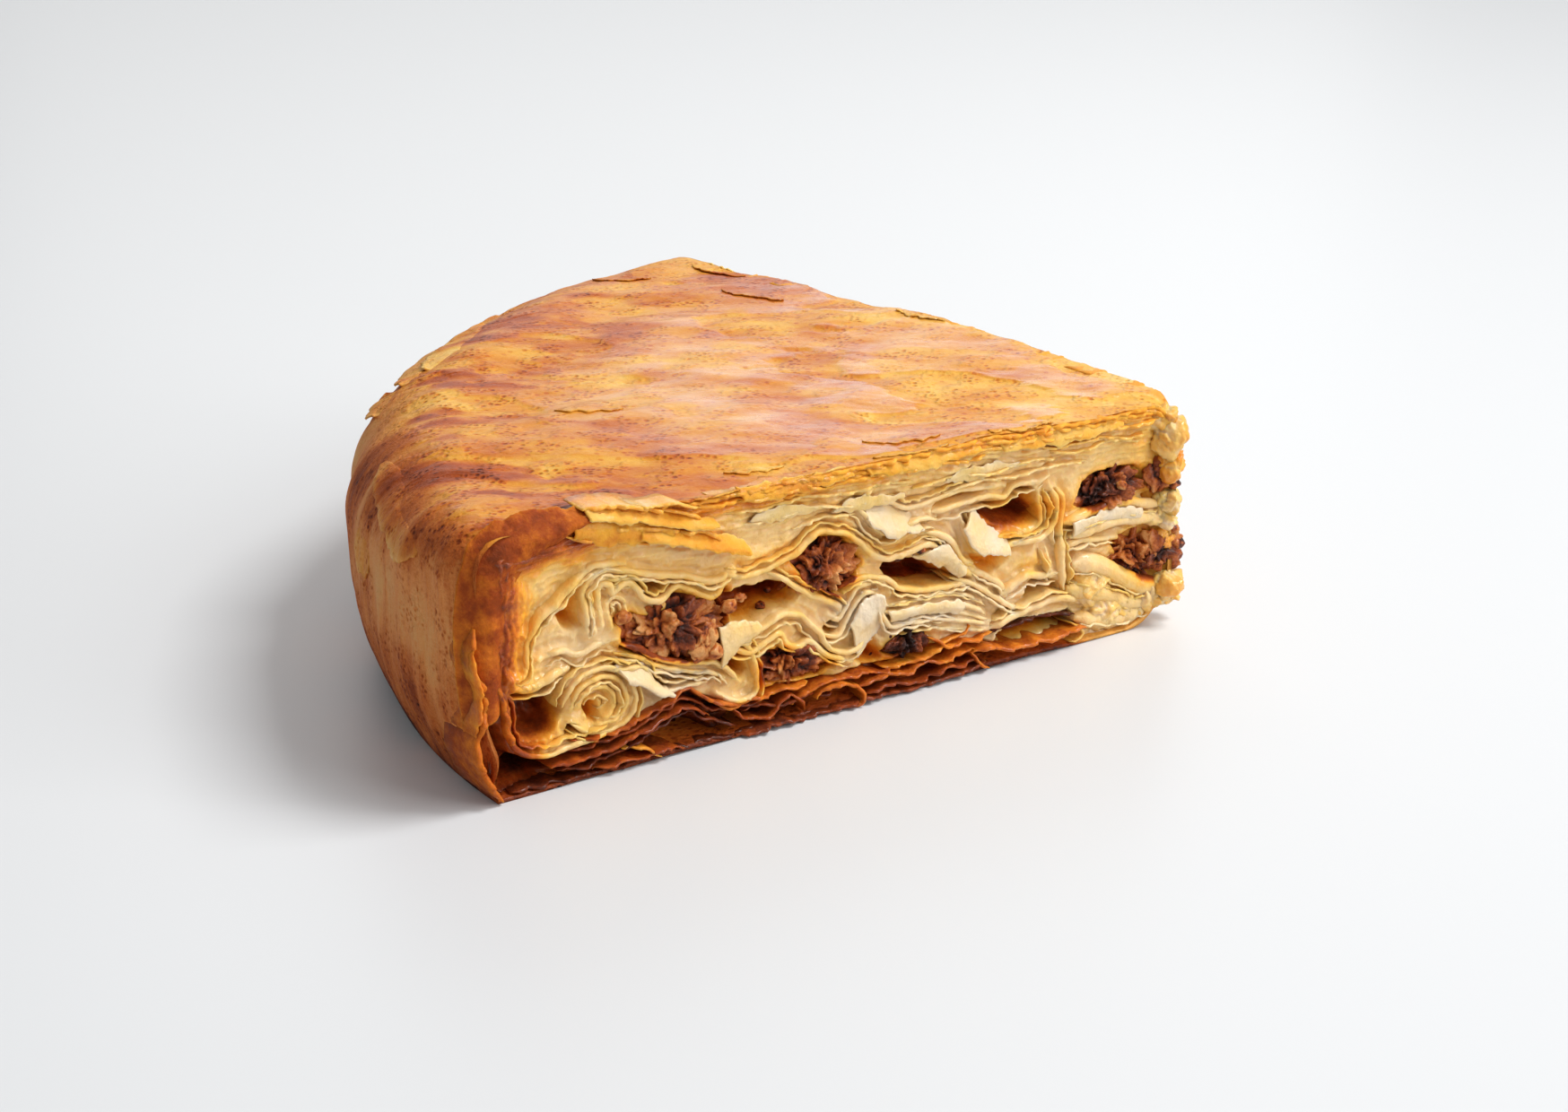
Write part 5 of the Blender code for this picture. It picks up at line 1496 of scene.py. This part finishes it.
CORNER_HIGH = [148.2, 13, 149.2, 20, 149.6, 27, 149.4, 32.6, 148.8, 37.4, 147, 42.4, 143.4, 45.6, 137,
    46.6, 131.6, 46.2, 125.6, 44.9]
CORNER_LOW = [143, 16, 142.4, 21, 141.8, 26, 141.4, 31, 140.4, 34.6, 138.4, 37.4, 135.6, 39.4, 132.4,
    40.8, 129, 42.6, 125.6, 44.3]
flaps.add(*between(CORNER_HIGH, CORNER_LOW, 2.6, 0.9, 2.7, 0.6, 110, 34, 81, 0.69, wet=0.08))
flaps.build(dough)

# %% [markdown]
# ## Torn leaves of the crust
# The top sheet tore when it was baked and cut. Leaves of it lie on the crust
# with one edge lifted, long ones along the front edge. Each is a small grid on
# the skin's own function, with a little lift, so it follows the crust below.

# %% Leaves on the top and the rim
LEAF_ROWS = 13


def leaf_on_top(u, v, half_long, half_wide, turn, lift, seed):
    """Closed leaf on the top: an ellipse-like grid, its near edge lifted by a smooth step.

    u and v are the middle's distances along the front cut and behind it.
    """
    a = np.linspace(-1.0, 1.0, 46)[:, None]
    b = np.linspace(-1.0, 1.0, LEAF_ROWS)[None, :]
    wide = (1.0 - np.abs(a) ** 2.4) ** 0.7 + 0.02
    wide = wide * (1.0 + 0.35 * noise(a * 2.3, seed + 0.2, seed=91))
    fray = 0.8 * rough(a * half_long / 1.9, b + seed, seed=92) * np.maximum(-b, 0.0) ** 2
    across = b * half_wide * wide + 0.12 * half_wide * noise(a * 3.0, seed + 0.7, seed=93) + fray
    cosine, sine = math.cos(math.radians(turn)), math.sin(math.radians(turn))
    x = u + a * half_long * cosine - across * sine
    y = v + a * half_long * sine + across * cosine
    angle = np.arctan2(y, x)
    along = np.hypot(x, y)
    rise = 0.05 + lift * ease((0.35 - b) / 1.35) * (0.7 + 0.5 * noise(a * 2.0, seed + 0.4, seed=94))
    rise = rise - 0.3 * ease((b - 0.4) / 0.6)
    bake_and_shade, wet, rim = crust_tones(angle, along)
    bake_and_shade = bake_and_shade - 0.02 - 0.06 * ease((-b - 0.55) / 0.45) + 0.05 * noise(x / 3.0, y / 2.0, seed=95)
    return *slab(crust_point(angle, along, rise), 0.22), *both_sides(bake_and_shade, wet * 0.8, rim)


# Each leaf: its middle, its half length and half width, its turn in degrees and its lift.
TOP_LEAVES = [
    (117, 0.8, 12, 1.8, 2, 0.4), (104, 0.6, 9, 1.4, -1, 0.3), (88, 1.2, 7, 1.5, 1, 0.25),
    (61, 1.4, 8, 1.5, 2, 0.25), (37, 1.4, 7, 1.3, 1, 0.25), (89, 8, 5.5, 1.6, 10, 0.22),
    (58, 8, 7, 2, 20, 0.16), (96, 48, 6, 2.6, 30, 0.12), (27, 96, 7, 2, 64, 0.3),
    (20, 118, 7, 2.2, 72, 0.35), (11, 62, 6, 1.6, 78, 0.3), (40, 124, 6, 2.8, 44, 0.25),
]
leaves = Piece("crust_leaves")
for order, leaf in enumerate(TOP_LEAVES):
    leaves.add(*leaf_on_top(*leaf, order * 1.7))


def leaf_on_rim(start, end, high, low, lift, shift, seed):
    """Closed leaf on the rim between two angles; its lower edge is lifted and frayed.

    high and low are lengths in mm past the start of the shoulder.
    """
    a = np.linspace(0.0, 1.0, 70)[:, None]
    b = np.linspace(0.0, 1.0, LEAF_ROWS)[None, :]
    angle = np.radians(start + (end - start) * a) + 0.0 * b
    wide = np.sin(math.pi * np.clip(a, 0.004, 0.996)) ** 0.45
    wide = wide * (1.0 + 0.25 * noise(a * 5.0, seed + 0.3, seed=96))
    middle = 0.5 * (high + low) + 1.2 * noise(a * 4.0, seed + 0.6, seed=97)
    span = (low - high) * wide
    fray = 0.8 * rough(a * (end - start) / 1.1, seed + 0.2, seed=98) * b ** 3
    along = PIE_RADIUS - shoulder_at(angle) + middle + (b - 0.5) * span + fray
    rise = -0.3 + 0.3 * ease(b / 0.25) + lift * ease((b - 0.2) / 0.8)
    rise = rise * (0.8 + 0.4 * noise(a * 6.0, seed + 0.1, seed=99))
    bake_and_shade, wet, rim = crust_tones(angle, along)
    bake_and_shade = bake_and_shade + shift - 0.12 * ease((b - 0.7) / 0.3)
    return *slab(crust_point(angle, along, rise), 0.4), *both_sides(bake_and_shade, wet, rim * 0.6)


# Each leaf: its first and last angle in degrees, its upper and lower edge, lift and tone.
RIM_LEAVES = [
    (38.6, 60.5, 9, 16, 1, -0.16), (41, 55, 5, 11, 0.6, -0.2), (35, 40.6, 13, 19, 1.1, -0.08),
    (6, 22, 10, 17, 0.35, -0.03), (60, 76, 10, 17, 0.9, -0.06), (16, 20, 24, 30, 0.4, 0.02),
    (44, 52, 38, 47, 0.5, 0), (66, 73, 26, 36, 0.5, 0),
]
for order, leaf in enumerate(RIM_LEAVES):
    leaves.add(*leaf_on_rim(*leaf, order * 2.3))
leaves.build(crust)

# %% [markdown]
# ## The long flakes of the front edge
# Splinters of the top sheets hang over the cut near the rim, bright yellow where
# the light shines through them, and thinner ones run on to the tip. All along
# the edge the torn skin forms lips, which follow the top edge of either cut.

# %% Long flakes
# The same five values as a base sheet's.
LONG_FLAKES = [
    (0.7, -1.2, 6, 0.4, [127.4, 46, 123, 45.9, 118, 44.9, 113.5, 43.4, 110, 42.7, 107, 41.3, 104.6,
        39.8]),
    (0.5, -1.6, 4, 0.36, [120, 45.4, 115, 44.6, 111, 44.4, 107.6, 43, 105.6, 42.4]),
    (0.8, -1.1, 5, 0.41, [124, 42.2, 120, 41.6, 116.5, 41, 112, 40, 109, 38.9, 105.6, 38.4, 102.4, 36.9,
        99, 33.6]),
    (0.6, -0.7, 4, 0.44, [131, 42.4, 127, 41, 123, 40.2, 118.6, 38.9, 113, 38]),
    (0.7, -0.5, 5, 0.46, [103, 43.6, 95, 43, 88, 43.3, 80, 42.4, 73, 42.8, 66, 41.8]),
    (0.6, -0.9, 4, 0.42, [98, 41.8, 92, 41.4, 86, 41.8, 80, 40.8]),
    (0.6, -0.6, 4, 0.41, [72, 41.4, 64, 40.6, 57, 41, 50, 40, 44, 40.4]),
    (0.6, -0.6, 4, 0.38, [50, 41.8, 42, 41, 35, 41.2, 28, 40.2, 20, 40.4, 12, 39.6, 5, 39.8]),
    (0.5, -0.3, 3.5, 0.33, [34, 39.4, 27, 38.6, 20, 38.8, 13, 37.6, 7, 37.8]),
    (0.6, 0.1, 4, 0.26, [101, 40, 92, 39.4, 84, 39.9, 76, 38.8, 68, 39.1, 60, 38.1]),
    (0.5, 0.3, 4, 0.2, [97, 37.4, 90, 37, 82, 37.6, 74, 36.3, 69, 36.8]),
    (0.5, 0.2, 4, 0.24, [61, 36.8, 52, 37.5, 44, 36.5, 36, 37.3, 28, 36.3]),
    (0.5, 0.4, 4, 0.19, [54, 34.6, 46, 35.6, 38, 34.8, 30, 35.4, 21, 34.4]),
    (0.5, 0.4, 4, 0.2, [86, 34.4, 80, 35.4, 73, 34.6]),
    (0.6, 0.1, 4, 0.27, [31, 38, 24, 37, 16, 37.6, 8, 36.2]),
]
# Each lip: how far below the edge, how deep its front lies, its tone, its first and last point.
LIPS = [
    (0.5, -0.5, 0.44, 0, 40), (1.3, -0.3, 0.41, 0, 16), (1.5, -0.3, 0.44, 18, 36), (2.4, 0, 0.39, 3, 14),
    (2.6, 0, 0.42, 16, 30),
]
flakes = Piece("long_flakes")
for order, (thick, near, far, tone, path) in enumerate(LONG_FLAKES):
    flakes.add(*ribbon(path, thick, near, far, seed=order * 3.3 + 70.0, ragged=0.9, curl=0.3,
                       spacing=0.4, tone=tone, wet=0.6))
lip_u = np.linspace(2.0, 126.0, 42)
for order, (below, near, tone, start, end) in enumerate(LIPS):
    for face in ("front", "back"):
        path = np.stack([lip_u, top_of_cut(lip_u, face)[0] - below], axis=-1)[start:end]
        path = 2.0 * path - bent(path, face)
        flakes.add(*ribbon(path, 0.7, near, 4.0, face=face, seed=order * 5.3 + 170.0, ragged=0.9,
                           curl=0.2, spacing=0.5, crinkle=0.30, tone=tone, wet=0.15))
flakes.build(dough)

# %% [markdown]
# ## Faces of folded sheets
# Not every sheet shows its cut edge. Some turn their face to the knife: pale
# see-through ones in the folds, and golden flakes that hang from the top. The
# patch between two paths that made the corner flap makes these too.

# %% Faces between two paths
FRONT_ONLY = (3, 4, 11, 13)
# Each face: depth above and below, bulge, thickness, tone, then its upper and lower path.
FOLD_FACES = [
    (1.8, -0.2, 0.3, 0.5, 0.08, [46.8, 30.4, 44.6, 28, 42, 25.6, 39.4, 24.2],
     [50.4, 27.6, 48.4, 24.4, 46, 22.2, 42.6, 21.2, 39.4, 20.9]),
    (2.2, -0.2, 0.3, 0.45, 0.1, [70.8, 35.6, 66.4, 35.6, 62, 33, 58.8, 30.5],
     [71.2, 33, 68.8, 31, 66.2, 29.4, 62.4, 28.9, 59, 28.8]),
    (0.2, 1.8, 0.5, 0.5, 0.08, [74.4, 15.6, 72.4, 17.9, 70.2, 19.5, 67.4, 19.1],
     [71.6, 8.4, 69.4, 10.2, 67.2, 12.4, 66, 15.6]),
    (1.6, -0.3, 0.6, 0.5, 0.06, [121.2, 18, 118, 17.4, 115.4, 17, 113.4, 14, 111, 11.6],
     [119.4, 15.2, 116.6, 13.6, 114.6, 12, 112.6, 11, 110.4, 10.6]),
    (0.4, 0.8, 0.7, 0.6, 0.17, [101.4, 20.6, 98.6, 20.8, 95.6, 20.6, 92.6, 19],
     [100.6, 13.2, 99, 14.4, 97, 15.8, 94.6, 17.2]),
    (0.6, 1.6, 0.6, 0.55, 0.12, [56, 25.4, 53.4, 25, 51.4, 23, 49, 19.6],
     [60, 24, 57, 22.6, 53, 20.8, 49.6, 18.4]),
    (0.3, 1.2, 0.5, 0.5, 0.06, [24.6, 23.8, 20, 24.4, 14, 24.6, 8, 23.4],
     [24, 20.4, 19, 20.8, 14, 21.2, 8.6, 20.6]),
    (0.4, 1, 0.5, 0.5, 0.1, [66, 15.6, 60, 15.4, 54, 15, 49, 13.6],
     [65, 13.4, 60, 13.6, 54.6, 13, 50, 12]),
    (0.4, 0.8, 0.2, 0.35, 0.19, [95, 37.7, 91, 39.2, 86, 38.9, 80, 37.4],
     [95, 37.5, 90, 36.3, 86, 36.5, 80, 37.2]),
    (0.4, 0.8, 0.2, 0.35, 0.21, [54, 37.4, 49, 38.6, 43, 38.3, 36, 36.9],
     [54, 37.2, 48, 35.8, 43, 36.1, 36, 36.7]),
    (0.5, 0.9, 0.2, 0.35, 0.2, [78, 36.4, 73, 37.8, 69, 37.4, 63, 36],
     [78, 36.2, 73, 35.2, 69, 35.1, 63, 35.8]),
]
GOLD_FACES = [
    (0.2, -0.4, 0.7, 0.4, 0.47, [129.4, 45, 124, 44.5, 118, 42.9, 111, 41.4],
     [129.4, 41.6, 124, 40, 118, 38.8, 110.6, 38.3]),
    (0.3, -1.5, 0.3, 0.35, 0.4, [127, 45.8, 120.7, 45.2, 113.9, 43.5, 107.9, 41.5, 102.8, 39.9],
     [127, 44.6, 120.7, 43, 114, 41.2, 107.9, 39.3, 102.4, 38.8]),
    (0.2, -1.3, 0.4, 0.35, 0.42, [117, 41.8, 110.5, 40.2, 105.3, 37.9, 100, 36.4, 96.6, 34.9],
     [117.4, 39.3, 111.4, 37.3, 106.2, 35.5, 100.9, 33.8, 95.8, 32.6]),
    (0.4, -0.6, 0.3, 0.3, 0.44, [98, 43.9, 90, 43.7, 82, 43.5, 75, 43.2],
     [97, 41.9, 90, 41.2, 82, 41.6, 74.6, 42]),
    (0.4, -0.6, 0.3, 0.3, 0.41, [72, 43.1, 64, 42.9, 56, 42.7, 47, 42.5],
     [71, 41.4, 64, 40.5, 55, 40.7, 47.4, 41.4]),
    (0.4, -0.6, 0.3, 0.3, 0.4, [43, 42.3, 34, 42.1, 25, 41.9, 14, 41.6],
     [42, 40.8, 34, 39.6, 24, 39.4, 14.6, 40.2]),
]
folds = Piece("fold_faces")
for order, (high, low, bulge, thick, tone, upper, lower) in enumerate(FOLD_FACES + GOLD_FACES):
    for face in ("front", "back"):
        if face == "back" and order in FRONT_ONLY:
            continue
        folds.add(*between(upper, lower, high, low, bulge, thick, 56, 16, 101 + order, tone,
                           face=face, wet=0.6 if tone < 0.3 else 0.15))
folds.build(dough)

# %% [markdown]
# ## The ragged tip
# The tip broke rather than being cut. Soft lumps of dough hang together there,
# with grains of meat between them. The lumpy ball of the meat pockets serves
# again, with larger and softer swellings.

# %% Lumps at the tip
# Each lump: its middle (u, depth, z), its three half sizes and its tone.
TIP_LUMPS = [
    (1.2, 2, 35.6, 3.6, 2.8, 4, 0.24), (0.4, 1.6, 30.4, 2.8, 2.2, 2.6, 0.42),
    (3, 1.6, 39.4, 3.4, 2.2, 2.2, 0.3), (1, 1.8, 23.4, 3.4, 2, 2.2, 0.22),
    (2.6, 1.8, 20.6, 4.4, 2.2, 1.9, 0.2), (0.8, 1.8, 7.4, 3.8, 2.4, 2.6, 0.24),
    (4.6, 2, 5.4, 4.4, 2.6, 2.8, 0.22), (9.4, 2.6, 4.2, 4.4, 2.6, 2.8, 0.24),
    (-1.2, 1.2, 4.8, 2.2, 1.8, 1.4, 0.26), (15, 2.6, 4.6, 5, 2.8, 3.6, 0.23),
    (18.6, 2.4, 10.4, 4.4, 2.6, 4.4, 0.2), (1.2, 1.6, 16.2, 2.4, 1.8, 2.6, 0.4),
]
tip = Piece("tip_dough")
for order, (u, depth, z, half_u, half_d, half_z, tone) in enumerate(TIP_LUMPS):
    for face in ("front", "back"):
        if face == "back" and order > 7:
            continue
        tip.add(*ball((u, depth, z), (half_u, half_d, half_z), 60, 40, 4.4, 1.0, 31 + order, tone,
                      face, tilt=0.3 * math.sin(order * 2.1), contrast=0.35))
tip.build(dough, weld=True)

# %% [markdown]
# ## Loose grains of meat
# The knife dragged a few grains out of their pockets. Small balls of the same
# kind sit on the cut, and three larger ones fill out the pockets by the rim and
# at the tip.

# %% Loose grains
# Each grain: its middle (u, depth, z), its radius and its tone.
GRAINS = [
    (-1.4, 0.8, 14.6, 1.5, 0.4), (-2.2, 1.2, 12.2, 1.1, 0.22), (-0.4, 0.4, 17.8, 1, 0.66),
    (-1.6, 1.4, 10.6, 1.2, 0.6), (-0.6, 1, 33.6, 0.8, 0.62), (2.4, 0, 33, 0.9, 0.5),
    (99.2, 0.6, 23.7, 1.3, 0.86), (90, 4.6, 20.7, 0.8, 0.3), (119.6, 0.8, 26.2, 1.2, 0.66),
    (3.6, 0, 12, 0.7, 0.6), (87.4, 6.2, 22.4, 0.5, 0.2), (13.6, 0, 29, 0.9, 0.85),
    (102.4, 0.2, 16.6, 1.5, 0.82), (96.4, 1.4, 24.6, 0.9, 0.74), (58.6, 1.2, 25.2, 0.8, 0.34),
    (63.4, 1.6, 24.6, 0.7, 0.2), (0.6, 0.2, 26.8, 1.2, 0.1),
]
loose = Piece("loose_grains")
for order, (u, depth, z, radius, tone) in enumerate(GRAINS):
    loose.add(*ball((u, depth, z), (radius * 1.2, radius, radius * 0.9), 14, 9, 1.4, 0.35,
                    61 + order, tone))
loose.add(*ball((104.5, 0.3, 18.6), (2.1, 0.9, 3.8), 60, 40, 2.6, 0.7, 82, 0.80, tilt=0.5))
loose.add(*ball((2.4, 1.6, 14.0), (5.2, 2.2, 4.0), 90, 60, 3.0, 1.6, 83, 0.48))
loose.add(*ball((3.0, 1.8, 28.4), (3.4, 2.0, 3.4), 60, 40, 2.6, 1.2, 84, 0.50))
loose.build(meat, weld=True)

# %% [markdown]
# ## Stage, light and camera
# The slice lies on a bare white surface in a bright studio. A pale floor and an
# even pale sky come first. A key light high on the right throws the soft shadow
# to the left, a broad low one from the front opens the folds of the cut, and a
# weak one behind puts the gloss on the top. The camera stands where the
# photograph's was worked out to be.

# %% Floor


def make_floor():
    """Plain pale surface with a faint soft gloss."""
    return Finish("pale_floor", Base_Color=(0.710, 0.723, 0.738, 1.0), Roughness=0.42,
                  Specular_IOR_Level=0.25).material


floor_mesh = bpy.data.meshes.new("floor")
floor_corners = [(-6, -6, 0), (6, -6, 0), (6, 6, 0), (-6, 6, 0)]
floor_mesh.from_pydata(floor_corners, [], [(0, 1, 2, 3)])
floor_mesh.materials.append(make_floor())
floor = bpy.data.objects.new("floor", floor_mesh)
bpy.context.scene.collection.objects.link(floor)
print("floor is", tuple(round(side, 1) for side in floor.dimensions[:2]), "m")

# %% Lights
world = bpy.data.worlds.new("studio")
world.use_nodes = True
sky = world.node_tree.nodes["Background"]
sky.inputs["Color"].default_value = (0.99, 0.995, 1.0, 1.0)
sky.inputs["Strength"].default_value = 0.38
bpy.context.scene.world = world


def soft_light(name, azimuth, height, distance, size, power, colour):
    """Square area light aimed at the slice from an azimuth and height in degrees."""
    lamp = bpy.data.lights.new(name, "AREA")
    lamp.shape = "SQUARE"
    lamp.size = size
    lamp.energy = power
    lamp.color = colour
    item = bpy.data.objects.new(name, lamp)
    bpy.context.scene.collection.objects.link(item)
    turn, rise = math.radians(azimuth), math.radians(height)
    toward = np.array([math.sin(turn) * math.cos(rise), -math.cos(turn) * math.cos(rise),
                       math.sin(rise)])
    item.location = Vector((toward * distance).tolist())
    item.rotation_euler = Vector(toward.tolist()).to_track_quat("Z", "Y").to_euler()


soft_light("key", 58.0, 57.0, 1.3, 0.50, 12.6, (1.0, 0.995, 0.985))
soft_light("back", 146.0, 25.0, 1.5, 1.0, 3.8, (1.0, 0.995, 0.98))
soft_light("fill", 30.0, 28.0, 1.5, 0.9, 9.6, (1.0, 0.995, 0.985))

# %% Camera
CAMERA_AZIMUTH = math.radians(-36.022)
CAMERA_HEIGHT = math.radians(19.630)
CAMERA_ROLL = math.radians(0.450)
CAMERA_DISTANCE = 0.53682
CAMERA_LENS = 66.655
AIM_RIGHT = 0.024308
AIM_UP = -0.009232

sine, cosine = math.sin(CAMERA_AZIMUTH), math.cos(CAMERA_AZIMUTH)
backward = np.array([sine * math.cos(CAMERA_HEIGHT), -cosine * math.cos(CAMERA_HEIGHT),
                     math.sin(CAMERA_HEIGHT)])
level = np.array([cosine, sine, 0.0])
steep = np.cross(backward, level)
right = level * math.cos(CAMERA_ROLL) + steep * math.sin(CAMERA_ROLL)
upward = -level * math.sin(CAMERA_ROLL) + steep * math.cos(CAMERA_ROLL)
aim = TIP + np.array([-0.075, 0.06, 0.02]) + right * AIM_RIGHT + upward * AIM_UP
stand = aim + backward * CAMERA_DISTANCE

lens = bpy.data.cameras.new("camera")
lens.lens = CAMERA_LENS
lens.sensor_width = 36.0
lens.sensor_fit = "HORIZONTAL"
lens.clip_start = 0.01
camera = bpy.data.objects.new("camera", lens)
bpy.context.scene.collection.objects.link(camera)
camera.matrix_world = Matrix([[*row, spot] for row, spot in
                              zip(np.stack([right, upward, backward], axis=1).tolist(),
                                  stand.tolist())] + [[0.0, 0.0, 0.0, 1.0]])
bpy.context.scene.camera = camera
bpy.context.scene.view_settings.view_transform = "Standard"
bpy.context.scene.view_settings.look = "None"
print("camera stands at", np.round(stand, 3).tolist())
